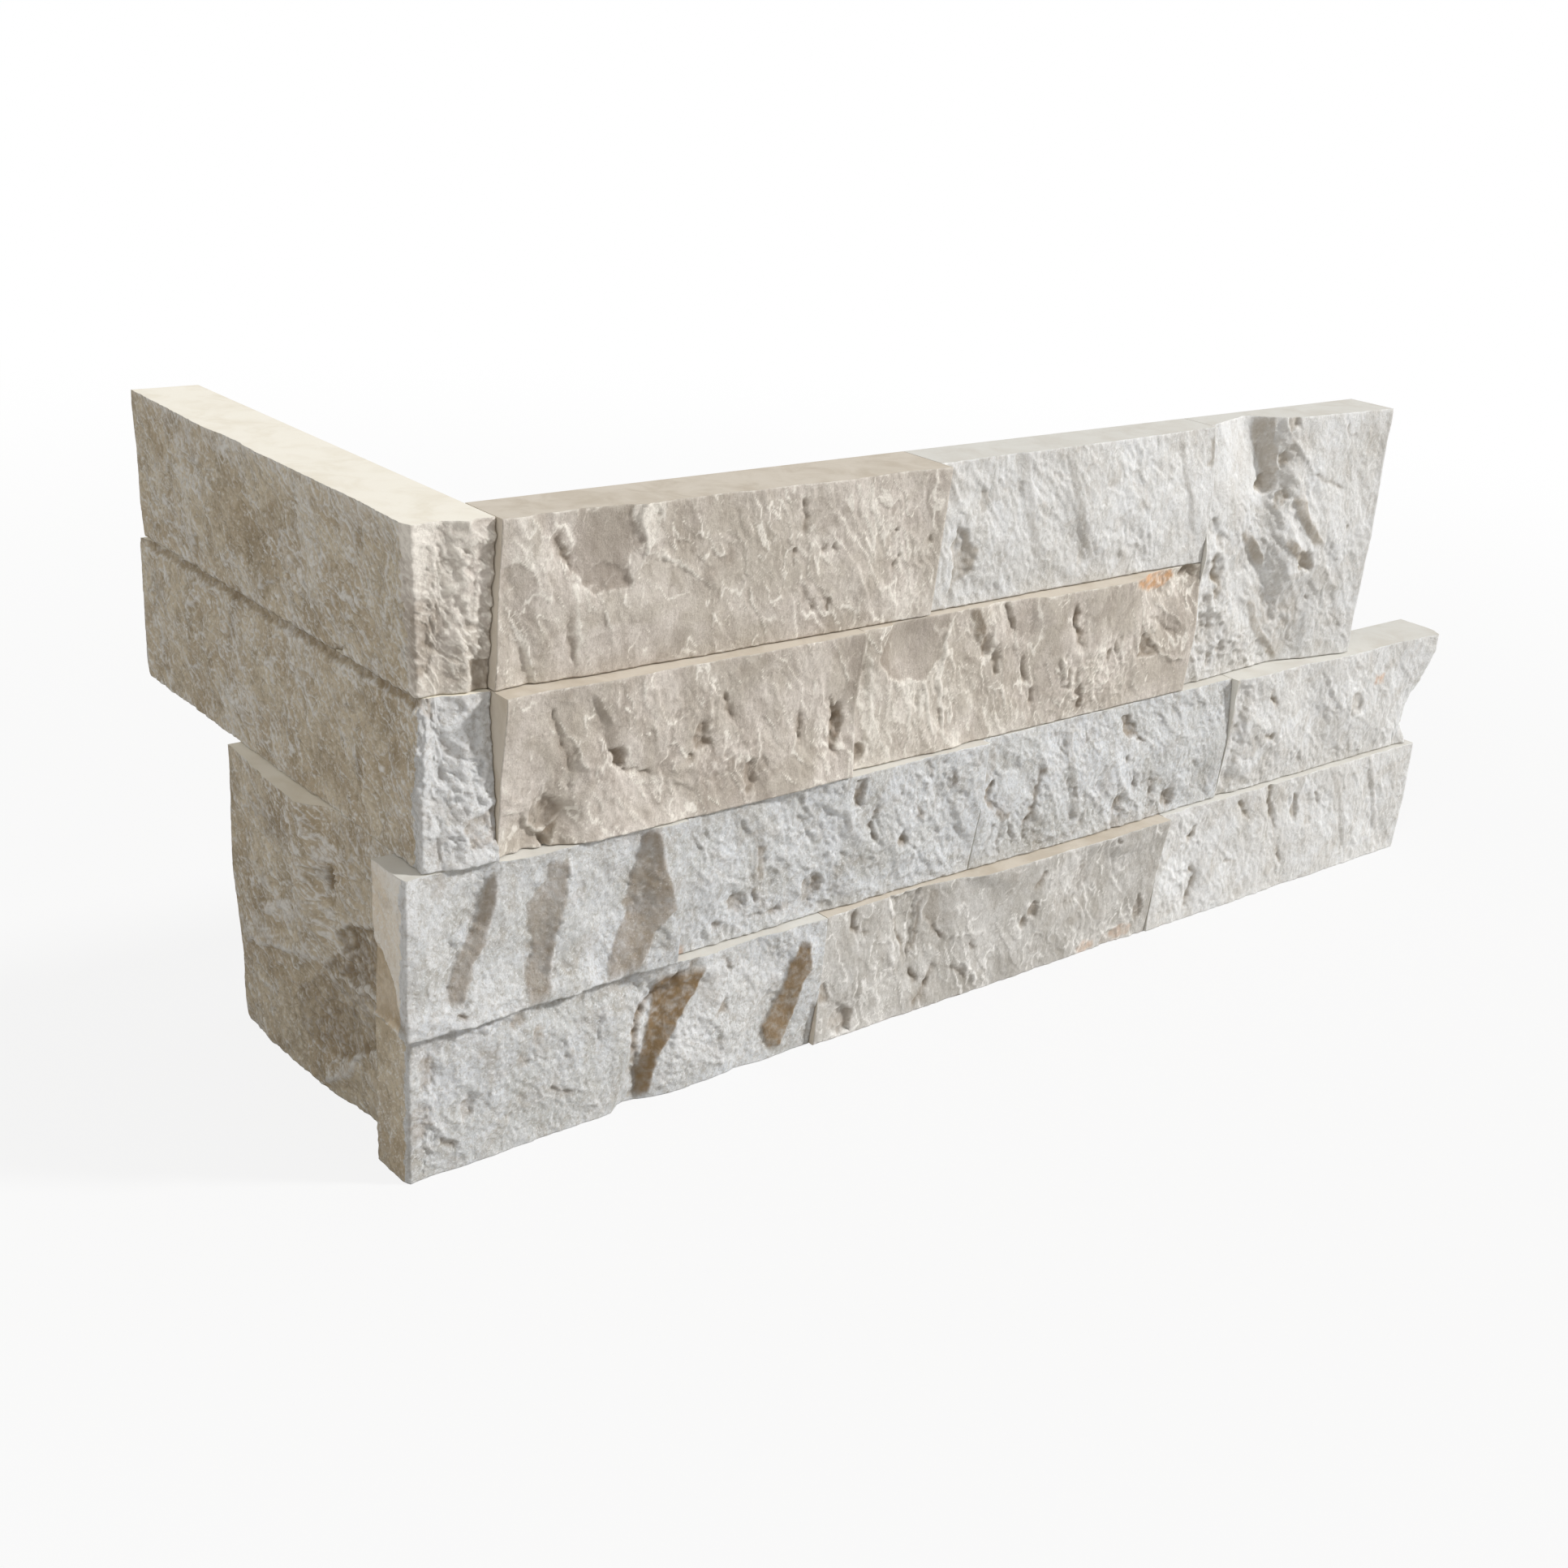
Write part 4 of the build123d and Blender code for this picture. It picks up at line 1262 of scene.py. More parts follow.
# Breaks seen square on to the long leg: distance from the outer corner, height
FRONT: dict[str, tuple[Feature, ...]] = {
    "top_left_stone": (
        Facet(((17, 112), (26.5, 112), (24, 121), (20, 128), (17, 130)), sink=0.5, tilt=(-0.12, 0),
            calm=0.6, light=0.35),
        arris(1.3, 0.3, 0.7, (20, 128), (24, 121), (26.5, 113)),
        Facet(((17, 134), (20.5, 135), (20, 139.5), (17, 140)), sink=0.8, stain_and_shade=0.2),
        Facet(((25.5, 152), (31, 152), (30, 145), (27, 145)), bowl=0.9, edge=0.7, calm=0.9, light=-0.3),
        crack(1.6, 1.0, 0.5, (31, 146), (36, 135)),
        Facet(((28, 113), (33, 135), (54, 137), (63, 134), (72, 127), (72, 113)), edge=4, calm=0.75),
        Facet(((36.5, 152), (34.5, 140), (35.5, 137), (38, 134), (41, 131), (50, 131), (50, 138), (53, 142),
            (51, 146), (50, 152)), sink=0.6, bowl=0.7, edge=0.7, calm=1.0, light=-0.65),
        Facet(((36, 134), (40, 130), (50, 130), (50, 135), (43, 137)), sink=0.2, edge=1.6, crumble=0.4,
            light=-0.2),
        Facet(((52, 150), (58, 147), (56, 141), (54, 138)), tilt=(-0.25, 0), edge=0.8, calm=0.7, light=0.5),
        arris(1.0, 0.5, 0.35, (52, 149), (58, 147), (56, 141), (54, 138), (63, 135), (68, 131), (73, 128),
            (72.5, 113)),
        arris(1.3, 0.2, 0.6, (36, 135), (37, 124), (37, 113)),
        arris(1.0, 0.4, 0.3, (39, 133), (40, 127)),
        arris(1.1, 0.5, 0.3, (43, 128), (47, 118)),
        crack(0.9, 0.5, 0.3, (34.5, 129), (35.5, 122), (36.4, 114)),
        Facet(((73, 128), (63, 135), (56, 141), (60, 150), (97, 150), (97, 136), (90, 120), (73, 113)),
            edge=5, light=-0.1),
        crack(1.2, 0.8, 0.45, (98.5, 146), (99, 136)),
        crack(0.9, 0.7, 0.5, (96, 134.5), (96.5, 130)),
        crack(0.8, 0.6, 0.4, (105, 135), (105.2, 132)),
        crack(0.8, 0.6, 0.4, (107, 134), (109, 132)),
        crack(0.8, 0.6, 0.4, (102, 121.5), (102, 118)),
        crack(0.8, 0.6, 0.4, (107, 121.5), (107, 118)),
        Facet(patch(99, 117, 108, 134), edge=3, light=-0.2, crumble=0.3),
        crack(1.2, 1.0, 0.6, (126.5, 135.4), (127.6, 134.6)),
        crack(0.9, 0.7, 0.5, (128.5, 129.5), (127, 125)),
        crack(0.8, 0.6, 0.4, (138, 133), (139, 130)),
        Facet(patch(120, 112, 142, 135), edge=5, crumble=0.3),
        arris(1.0, 0.3, 0.6, (145.2, 151), (145.6, 113)),
    ),
    "top_middle_stone": (
        Facet(((146.5, 131), (148, 134), (154, 127), (154, 123), (151, 121), (147, 117), (146, 122)),
            sink=0.8, tilt=(0.14, 0), edge=0.9, stain_and_shade=0.45, crumble=0.3),
        pit((148.5, 121.5, 153.5, 129), 0.4, 0, 0.35),
        pit((154, 136, 157, 142), 0.4, 0, 0.35),
        Facet(patch(205, 120, 212, 133), edge=3, light=-0.25),
        Facet(patch(222, 116, 226, 120), edge=2, light=-0.3),
        Facet(((222, 113), (218, 150), (241, 150), (242, 113)), edge=4, calm=0.45, light=0.12),
        Step(((166, 151), (170, 136), (176, 120)), ((168.5, 151), (173, 136), (178.5, 120)), 0.9,
            stain_and_shade=0.15),
        Step(((184, 148), (189, 134), (196, 119)), ((186, 148), (191.5, 134), (198, 119)), 0.8, stain_and_shade=0.12),
        Step(((226, 149), (231, 136), (236, 122)), ((227.5, 149), (233, 136), (238, 122)), 0.7, stain_and_shade=0.1),
        crack(1.2, 1.2, 0.5, (240.4, 149), (240.8, 143), (241.6, 139)),
    ),
    "tall_stone": (
        Facet(((243, 131), (243, 152), (256, 152), (258, 144), (262, 139), (262, 134), (266, 130)),
            sink=0.2, edge=1.5, calm=0.8, light=0.3),
        Step(((256.5, 152), (257, 147), (259, 143), (262, 139), (263, 136), (262, 133)), ((265, 152),
            (266, 146), (269, 141), (270, 137), (268, 131)), 1.7, fall=(6, 5), stain_and_shade=0.5),
        Facet(((258, 152), (259, 144), (263, 138), (264, 131), (276, 129), (279, 140), (278, 152)), edge=2,
            crumble=0.6, stain_and_shade=0.12),
        pit((262, 130, 270, 136), 0.8, 0.8, 0.5),
        pit((270.5, 136.5, 276, 141), 0.7, 0.8, 0.45),
        pit((272, 147, 277, 152), 0.7, 0.7, 0.45),
        pit((271, 125, 278, 130), 0.6, 0.6, 0.45),
        arris(1.4, 0.7, 0.35, (266, 131), (270, 129.5), (273, 126), (276, 122), (278, 117), (280, 113)),
        Step(((281, 127), (285, 120), (294, 111)), ((285.5, 127), (289, 120), (298.5, 111)), 1.7,
            fall=(7, 9), stain_and_shade=0.6),
        Step(((280, 113), (288, 107.5), (291.5, 104.5)), ((283, 114.5), (291, 109.5), (294.5, 105.5)), 1.3,
            fall=(6, 6), stain_and_shade=0.65),
        Facet(((287, 110), (293, 110), (293.5, 104), (288.5, 105)), sink=0.9, bowl=0.5, stain_and_shade=0.5),
        crack(0.9, 0.6, 0.4, (288, 133), (300, 129), (305, 127)),
        Step(((259, 118.5), (265, 112.5), (268, 108.5)), ((262, 119.5), (268, 114.5), (271, 110)), 1.3,
            fall=(6, 6), stain_and_shade=0.6),
        Facet(patch(238, 98, 251, 124), sink=1.8, edge=3),
        crack(1.6, 1.4, 0.7, (249.5, 115), (250.4, 109), (253, 100)),
        Facet(((243, 78), (243, 104), (254, 105), (261, 92), (281, 83), (281, 76)), edge=3, crumble=0.85,
            stain_and_shade=0.12),
        pit((245, 88, 252, 98), 0.5, 0.5, 0.25, edge=2, crumble=1.0),
        pit((255, 84, 259, 88), 0.4, 0.5, 0.3, crumble=1.0),
        pit((251.5, 80, 254.5, 85), 0.4, 0.5, 0.3, crumble=1.0),
        Facet(((255, 108), (265, 107), (275, 95), (275, 85), (262, 86), (256, 95)), edge=2, calm=0.5,
            light=0.35),
        Step(((266, 98), (269, 91), (275, 85), (281, 79)), ((268.5, 99), (271.5, 92), (277.5, 86),
            (283.5, 80)), 1.2, fall=(7, 8), stain_and_shade=0.5),
        Facet(((266, 98), (270, 91), (281, 80), (291, 82), (290, 99), (275, 102)), edge=4, stain_and_shade=0.28),
        Facet(((286, 135), (300, 112), (318, 112), (318, 151), (284, 151)), edge=6, calm=0.55, light=0.1),
        crack(1.0, 0.7, 0.35, (300, 147), (302, 143.5), (306, 143)),
        crack(0.9, 0.8, 0.5, (308.6, 115.9), (309.5, 115.1)),
        crack(1.0, 0.7, 0.4, (293, 97), (295.5, 95)),
    ),
    "second_left_stone": (
        Facet(box(10, 70, 120, 118), edge=3, light=-0.32),
        Facet(((17, 75), (31, 75), (29, 77), (25, 81), (23, 84.5), (17, 85)), sink=1.2, tilt=(-0.1, 0.05),
            edge=0.9, calm=0.7, light=0.35),
        pit((26, 80, 33, 87), 0.6, 0.5, 0.35, crumble=0.5),
        Facet(((28, 78), (33.5, 81), (30, 74)), sink=0.7, tilt=(0.15, 0), stain_and_shade=0.65),
        Step(((42, 108), (45, 100), (47, 93)), ((43.5, 108), (47.5, 100), (49.5, 93)), 0.8, fall=(6, 8),
            stain_and_shade=0.15),
        Facet(((46.5, 95), (50, 95), (51, 90), (47.5, 90)), sink=1.1, bowl=0.9, edge=0.8, stain_and_shade=0.6),
        crack(1.1, 0.8, 0.45, (49, 90), (54, 88.5), (59, 86)),
        Facet(((71, 97), (74.5, 96), (73, 93), (75, 90.5), (70.5, 89.5), (69, 92)), sink=0.7, bowl=0.4,
            edge=1.5, stain_and_shade=0.4, crumble=0.6),
        Facet(patch(62, 76, 78, 104), edge=4, crumble=0.35, light=-0.15),
        crack(1.2, 0.8, 0.5, (68, 89.5), (70, 87)),
        Facet(patch(73.5, 97, 76, 108), edge=1.2, tilt=(-0.2, 0), light=0.35),
        crack(1.1, 0.9, 0.5, (78, 103), (79, 98), (82, 94)),
        Facet(patch(75, 76, 90, 93), edge=4, crumble=0.5, light=-0.2),
        pit((85, 76, 88.5, 84), 0.5, 0.5, 0.3, crumble=0.6),
        pit((88, 81, 92, 84.5), 0.4, 0.4, 0.3),
        arris(1.3, 0.6, 0.3, (33, 104), (38, 96), (42, 88)),
        crack(1.2, 0.6, 0.25, (30, 108), (34, 98), (37, 90)),
        arris(1.3, 0.5, 0.25, (54, 110), (58, 100), (60, 92)),
        crack(0.9, 0.8, 0.5, (100.5, 94.5), (101, 90), (102, 86)),
        crack(1.5, 1.5, 0.6, (110, 97), (112, 91), (111.6, 86), (114, 80)),
        pit((111.8, 84, 114.2, 94), 0.9, 0.4, 0.7, edge=0.8),
        Facet(patch(92, 75, 98, 79), edge=1.5, calm=0.5, light=0.35),
        arris(0.9, 0.4, 0.4, (96, 80), (98.5, 77), (101, 75)),
        Facet(((19, 88), (19, 112), (38, 112), (42, 90)), edge=4, calm=0.6),
    ),
    "second_right_stone": (
        crack(1.3, 0.9, 0.5, (115, 112), (117, 110), (119, 107.5)),
        arris(1.3, 0.5, 0.7, (119, 108), (121, 103), (122, 95), (123, 85), (122, 77)),
        pit((118, 77, 122, 82), 0.9, 0, 0.5),
        Facet(((128, 113), (125.5, 106), (125, 102), (128, 99), (134, 96), (140, 95), (145, 100),
            (147.5, 107), (150, 113)), sink=0.6, bowl=0.7, edge=0.7, calm=1.0, light=-0.72),
        Facet(((125.5, 106), (125, 102), (127, 99), (130, 98), (129, 106)), edge=1.5, stain_and_shade=0.25),
        arris(1.2, 0.7, 0.7, (149, 112), (147, 104), (146, 95), (147, 88), (149, 80), (152, 75)),
        Facet(((149, 112), (147, 95), (149, 80), (160, 78), (166, 98), (165, 112)), edge=3, light=-0.25,
            crumble=0.25),
        arris(1.1, 0.6, 0.3, (141, 95), (143, 85), (147, 77)),
        crack(1.1, 0.5, 0.25, (138, 94), (140, 84), (143, 77)),
        Step(((155, 112), (156, 109), (158, 104), (161, 99)), ((157.5, 112), (159, 109), (161, 104),
            (163.5, 99)), 1.2, fall=(5, 6), stain_and_shade=0.6),
        crack(1.3, 1.1, 0.6, (167, 112), (169, 108), (172, 103)),
        pit((160, 98, 163, 104), 0.5, 0.4, 0.35),
        Facet(((163.5, 101), (165.5, 101), (167, 93), (165, 92)), sink=0.5, bowl=0.4, edge=1.4, stain_and_shade=0.35),
        Facet(((174, 97), (175.5, 96), (178, 89), (176.5, 88)), sink=0.5, bowl=0.4, edge=1.4, stain_and_shade=0.35),
        pit((179, 82, 181, 87), 0.4, 0.4, 0.3, edge=1.2),
        Facet(((178, 92), (178, 111), (195, 111), (197, 98), (190, 92)), edge=3, calm=0.75),
        crack(1.4, 1.3, 0.65, (194, 109), (195, 102), (197, 98), (200, 94.5)),
        Facet(((198, 95), (198, 111), (220, 111), (221, 98)), edge=3, calm=0.7),
        Facet(((186, 75), (188, 90), (200, 94), (222, 98), (222, 76)), edge=4, crumble=0.65, light=-0.12),
        crack(1.1, 1.0, 0.5, (199.4, 85), (199.8, 76)),
        crack(1.0, 0.9, 0.5, (209, 92.5), (209.4, 89.5)),
        crack(1.0, 0.9, 0.5, (212, 95.5), (212.3, 91.5)),
        crack(1.0, 0.8, 0.45, (194, 91), (194.5, 83)),
        Facet(((191, 93), (197, 89), (200, 82), (197, 81), (192, 87)), tilt=(-0.2, 0), edge=1.2, calm=0.5,
            light=0.35),
        Facet(((221, 91), (225, 97), (230, 88), (222, 87.5)), sink=1.0, tilt=(0.12, 0), stain_and_shade=0.6),
        arris(1.2, 0.7, 0.3, (222, 98), (226, 93), (230, 88), (237, 86), (244, 84)),
        Facet(((219, 75), (221, 88), (230, 88), (244, 84), (244, 75)), edge=2, calm=0.7),
        arris(1.1, 0.6, 0.25, (225, 104), (240, 95)),
        crack(1.1, 0.5, 0.2, (223, 101), (238, 92)),
        Facet(((217, 113), (217, 108), (228, 105), (243, 104), (244, 113)), edge=2, light=0.2, crumble=0.8),
        Facet(patch(217.5, 107.6, 231.5, 113), edge=1.5, rust=0.75, crumble=0.6),
        pit((234.5, 109.3, 241, 113), 1.4, 0.8, 0.55, crumble=0.5),
    ),
    "third_corner_stone": (
        Facet(box(-8, 28, 50, 43), sink=-1.6, edge=9),
        Facet(box(52, 30, 72, 42), sink=1.2, edge=6),
        Facet(((-5, 36), (-5, 73), (7, 73), (6, 46), (5, 37)), edge=2, calm=0.6, light=0.25),
        Step(((16, 71), (14, 65), (13, 61), (10, 56), (8, 51), (6.5, 47), (6.5, 42)), ((17.8, 71),
            (17.2, 65), (16.2, 61), (15, 56), (12.2, 51), (11, 47), (9.6, 42)), 2.0, fall=(6, 7),
            stain_and_shade=0.52),
        crack(0.9, 0.7, 0.6, (7, 40), (10, 38)),
        Facet(((18, 73), (12, 52), (9, 38), (25, 37), (26, 50), (25, 62), (31, 68), (31, 73)), edge=2,
            calm=0.45, light=0.3),
        Step(((31.5, 71), (31, 67), (26, 62), (27, 55), (28, 50), (26, 45), (26, 37)), ((35.5, 71),
            (35.5, 60), (34, 55), (31.5, 48), (31, 37)), 2.2, fall=(7, 8), stain_and_shade=0.46),
        arris(1.1, 0.5, 0.5, (35.8, 71), (35.8, 60), (34.4, 55), (31.8, 48), (31.4, 38)),
        Facet(((37, 73), (36, 56), (32, 48), (32, 37), (47, 38), (50, 47), (51, 56), (56, 68), (57, 73)),
            edge=2, calm=0.35, light=0.3),
        Step(((58, 73), (56, 67), (54, 60), (51.5, 55.5), (53, 53.5), (50, 47), (48, 42), (47.5, 37)),
            ((60.5, 73), (63, 62), (66, 54), (67, 51), (62, 48), (60, 46), (59, 42), (57, 37)), 2.4,
            fall=(8, 6), stain_and_shade=0.55),
        Facet(((51, 54), (54, 52), (49, 42), (48, 38), (57, 39), (60, 46), (58, 54)), edge=2, light=-0.3),
        arris(1.1, 0.6, 0.6, (60, 72), (63, 64), (67, 52)),
    ),
    "third_left_stone": (
        pit((78, 41.5, 80.5, 44.5), 0.6, 0.4, 0.4),
        pit((83, 45, 88, 50), 0.5, 0.5, 0.35),
        crack(1.0, 0.8, 0.55, (90.5, 51), (90.5, 45.5)),
        Facet(((90.6, 61), (93, 61), (93, 52), (91, 52)), sink=0.6, stain_and_shade=0.55),
        Step(((88.5, 66), (90, 60), (90, 51)), ((91.5, 66), (93, 60), (93, 51)), 0.9, fall=(6, 8),
            stain_and_shade=0.2),
        crack(1.1, 0.7, 0.3, (88, 43.2), (96, 42.5), (105, 43)),
        Facet(patch(96, 39.5, 101, 42.2), sink=-0.4, light=0.5),
        pit((105, 43, 112, 50), 0.5, 0.5, 0.3, edge=1.5),
        pit((109, 44, 111.5, 49), 0.4, 0, 0.5),
        crack(1.0, 0.6, 0.35, (106, 43), (111, 39)),
        Facet(((120.5, 72), (124, 72), (123, 65), (121, 65)), sink=0.9, bowl=0.4, stain_and_shade=0.6),
        crack(1.2, 0.9, 0.4, (130, 64), (127, 60), (128, 56), (130, 53)),
        Facet(((137, 52), (139, 54.5), (141.3, 52), (139, 49.5)), sink=0.8, bowl=0.7, edge=0.8, stain_and_shade=0.5),
        crack(1.2, 0.7, 0.45, (143, 61), (144.5, 57)),
        crack(1.2, 0.7, 0.45, (145, 72.5), (147, 68)),
        crack(1.1, 0.7, 0.4, (155, 67), (156, 64)),
        Facet(((66.5, 42), (69.5, 40.5), (69.5, 36), (66.5, 36)), rust=0.5, crumble=0.5),
    ),
    "third_right_stone": (
        Facet(patch(165, 62, 170, 73), edge=1.5, stain_and_shade=0.3),
        Facet(((167.5, 60), (170, 62.5), (170, 57), (173, 54), (177.5, 51.5), (177, 49.5), (174, 49.5),
            (169.5, 54)), sink=0.8, tilt=(0.06, -0.08), stain_and_shade=0.62),
        Facet(((172, 55), (172, 64), (182, 64), (183, 54), (178, 51)), edge=1.2, calm=0.8, light=0.15),
        crack(0.9, 0.5, 0.2, (172, 50), (168, 42)),
        crack(0.9, 0.5, 0.2, (175, 49.5), (174, 40)),
        crack(0.9, 0.5, 0.2, (178, 49.5), (180, 41)),
        crack(1.2, 0.9, 0.5, (191, 63), (188, 59), (186, 55), (186.5, 50), (184, 46), (183, 41)),
        crack(1.3, 0.8, 0.5, (204.5, 69.5), (205.5, 66)),
        Facet(((217.5, 71.5), (221, 72.5), (226, 65.5), (229.5, 62), (221, 66)), sink=1.1, tilt=(0.1, 0.05),
            edge=0.8, stain_and_shade=0.65),
        pit((219, 38, 224, 48), 0.5, 0.6, 0.35, edge=1.6, crumble=0.5),
        pit((241, 39, 246, 45), 0.5, 0.6, 0.4, edge=1.4, crumble=0.5),
        crack(1.2, 0.7, 0.4, (202.5, 54.5), (203.5, 50)),
        crack(1.2, 0.7, 0.4, (222.5, 59.5), (223.5, 56.5)),
        crack(1.1, 0.7, 0.4, (227.5, 51.5), (228.5, 47.5)),
        crack(1.3, 0.8, 0.4, (234.5, 50.5), (236, 43)),
        Step(((196, 72), (199, 60), (204, 44)), ((198.5, 72), (201.5, 60), (206, 44)), 0.9, fall=(6, 8),
            stain_and_shade=0.15),
    ),
    "third_end_stone": (
        Facet(patch(258, 30, 273, 82), edge=5, sink=1.8),
        pit((265, 67, 270, 76), 0.6, 0, 0.55, edge=1.5),
        crack(1.4, 1.2, 0.6, (267.9, 67), (268.4, 60), (268.2, 51)),
        crack(1.2, 1.1, 0.6, (285, 67.5), (286.5, 65), (288.5, 62)),
        crack(1.1, 0.9, 0.55, (285, 54.4), (289, 52.3)),
        arris(1.3, 0.8, 0.3, (311, 69), (318, 60), (324, 54)),
        pit((327, 52, 333, 60), 0.6, 0.7, 0.35),
        Facet(((338, 61), (343, 61.5), (342.5, 64.5), (338.5, 64)), edge=1.6, rust=0.6),
        Facet(patch(341, 65, 347, 68.5), edge=1.5, stain_and_shade=0.2, light=-0.2),
        Facet(box(267, 39, 300, 45), edge=2.5, light=-0.18),
        Facet(((290, 73), (293, 46), (320, 44), (364, 46), (362, 72)), edge=5, calm=0.4, light=0.1),
    ),
    "bottom_corner_stone": (
        Facet(box(-8, 32, 58, 46), sink=2.2, edge=9),
        Facet(box(58, 31, 80, 44), sink=-1.0, edge=5),
        Facet(box(-5, 29, 57, 37), edge=4, light=-0.15),
        pit((-1.5, 23, 3, 31), 0.5, 0, 0.45, edge=1.4),
        pit((-5, 10, 1, 20), 0.5, 0, 0.4, edge=1.8),
        pit((28, 26, 30.5, 30.5), 0.4, 0, 0.4),
        pit((22, 31, 25.5, 34.5), 0.5, 0, 0.4),
        pit((24, 21, 27, 25), 0.5, 0, 0.35),
        pit((9.5, 12, 12.5, 18), 0.5, 0, 0.35),
        crack(1.2, 0.6, 0.3, (4, 9), (8, 6)),
        crack(1.3, 0.7, 0.35, (33, 14), (40, 8)),
        Step(((62, 30), (61, 24), (60, 19), (58.5, 12), (57.5, 3)), ((76, 33.5), (73, 27), (70, 24),
            (66, 16.5), (62.5, 12), (60.3, 3)), 2.4, fall=(2.5, 9), stain_and_shade=1.0),
        crack(1.5, 1.6, 0.6, (74, 37), (72, 34.2), (66, 30.8), (62, 29.2), (60, 27), (58, 24), (57, 20),
            (57, 15), (58, 10), (58.4, 6), (57, 1)),
        Facet(((75, 34), (74, 27), (71, 23), (68, 16), (64, 12), (63, 3), (96, 4), (96, 12), (101, 18),
            (104, 28)), edge=3, light=0.6),
        Facet(((81, 18), (84, 19), (83, 23.5)), sink=0.6, stain_and_shade=0.4),
        crack(1.2, 0.7, 0.35, (82, 35), (85, 30)),
        Step(((107, 31), (104, 25), (101, 17), (96.5, 10), (98.5, 3)), ((109.5, 29), (110, 23), (107.2, 20),
            (105, 11), (101, 3)), 2.0, fall=(6, 3), stain_and_shade=0.95),
        crack(1.4, 1.2, 0.6, (113, 13), (113, 1)),
    ),
    "bottom_middle_stone": (
        Facet(box(108, -5, 246, 42), edge=3, light=-0.28),
        Facet(((113.5, 17), (116, 17.5), (119, 11), (113.5, 12.5)), sink=0.7, stain_and_shade=0.6),
        Facet(((113, 11.5), (120, 10.5), (124, 8), (126, 1), (113, 1)), sink=0.7, tilt=(-0.08, 0), edge=0.8,
            calm=0.6, light=0.3),
        pit((119, 1, 126, 8), 0.7, 0, 0.35, crumble=0.5),
        crack(1.3, 1.0, 0.5, (125, 36), (124.5, 31), (126, 29), (130, 27.5)),
        Facet(((136, 37), (137, 30), (142, 21), (143, 16), (145, 22), (147, 37)), sink=0.6, bowl=1.3,
            edge=0.9, light=-0.1, crumble=0.2),
        crack(1.2, 0.8, 0.5, (137, 31), (142, 21), (143, 17)),
        crack(1.2, 0.7, 0.45, (147.5, 34), (145.4, 22), (143.4, 17)),
        arris(1.2, 0.6, 0.5, (135.7, 29), (137.6, 20), (138.3, 10)),
        Facet(((150, 35), (153.5, 34), (154.5, 28), (153, 22), (148.5, 30)), sink=0.6, tilt=(0.1, 0),
            edge=0.8, calm=0.8, stain_and_shade=0.3),
        crack(1.2, 0.9, 0.5, (152.5, 25), (157, 19.5)),
        arris(1.3, 0.6, 0.3, (157, 20), (163, 18.5), (174, 17)),
        crack(1.3, 0.9, 0.5, (144, 15), (149, 8)),
        crack(1.4, 1.0, 0.6, (154.5, 13), (153, 9), (150, 4), (147, 1)),
        arris(1.3, 0.6, 0.25, (163, 12), (172, 3)),
        crack(1.2, 0.6, 0.3, (160, 12), (168, 4)),
        crack(1.1, 0.7, 0.45, (168, 16), (170, 12)),
        crack(1.4, 1.0, 0.55, (196, 30), (191, 24.5)),
        pit((189.5, 17.5, 193.5, 21.5), 0.7, 0.5, 0.5),
        pit((186.5, 14.5, 189.5, 18.5), 0.6, 0.5, 0.45),
        Facet(patch(206, 20, 212, 30), edge=2, crumble=0.8, stain_and_shade=0.2),
        Facet(patch(203, 17, 209, 21), edge=1.8, crumble=0.8, stain_and_shade=0.2),
        crack(1.2, 0.8, 0.45, (224, 34), (226, 31)),
        Facet(((210, 5.5), (215.5, 5), (222, 8.5), (233, 9.5), (242, 6), (242, -2), (210, -2)), edge=2,
            light=0.15, crumble=0.5),
        Facet(patch(212, 0, 219, 3.5), edge=1.2, rust=0.35),
        Facet(patch(226, 1, 235, 5), edge=1.2, rust=0.3),
        pit((222, -1, 229, 4), 0.7, 0, 0.4),
        pit((235, 5, 238.5, 13), 0.6, 0.4, 0.45),
        Facet(((156, 36), (156, 21), (186, 20), (200, 36)), edge=4, calm=0.65),
    ),
    "bottom_end_stone": (
        crack(1.2, 1.0, 0.5, (258, 31.5), (257, 28), (255.5, 25)),
        crack(1.3, 1.1, 0.5, (258, 17.5), (262, 14), (260, 8), (258, 1)),
        crack(1.3, 1.1, 0.5, (292, 37), (293, 30), (295, 26), (298, 20.5)),
        Facet(((305, 31), (308, 30), (308.5, 21), (305.5, 22)), sink=0.7, bowl=0.6, stain_and_shade=0.45),
        crack(1.1, 0.8, 0.4, (278, 34.5), (285, 26)),
        crack(1.1, 0.7, 0.4, (275, 16), (281, 12)),
        crack(1.1, 0.7, 0.4, (300, 14.5), (304, 7)),
        pit((313, 18, 316.5, 21.5), 0.5, 0, 0.3),
        crack(1.2, 0.7, 0.35, (317, 29.5), (319, 24)),
        Facet(((262, 36), (264, 2), (362, 2), (362, 36)), edge=5, calm=0.35, light=-0.1),
        Step(((322, 36), (330, 22), (336, 6)), ((324.5, 36), (332.5, 22), (338, 6)), 0.8, fall=(7, 9),
            stain_and_shade=0.12),
        Step(((342, 36), (348, 22), (353, 8)), ((344, 36), (350, 22), (355, 8)), 0.7, fall=(7, 9),
            stain_and_shade=0.12),
    ),
    "top_return_strip": (
        Facet(box(-8, 112, 18, 152), edge=2, calm=0.4, light=0.22),
        Facet(box(-8, 134, 8, 152), edge=3, light=0.25),
        Facet(((-6, 137), (2, 134), (4, 128), (1, 120), (-6, 119)), sink=0.7, tilt=(0.1, 0), edge=2,
            stain_and_shade=0.5, crumble=0.3),
        Facet(((-6, 149), (-2.5, 149), (-2.5, 145), (-6, 145)), light=0.5),
        Facet(((9.5, 122), (14, 121), (15, 114), (10.5, 113.5)), sink=0.8, stain_and_shade=0.55),
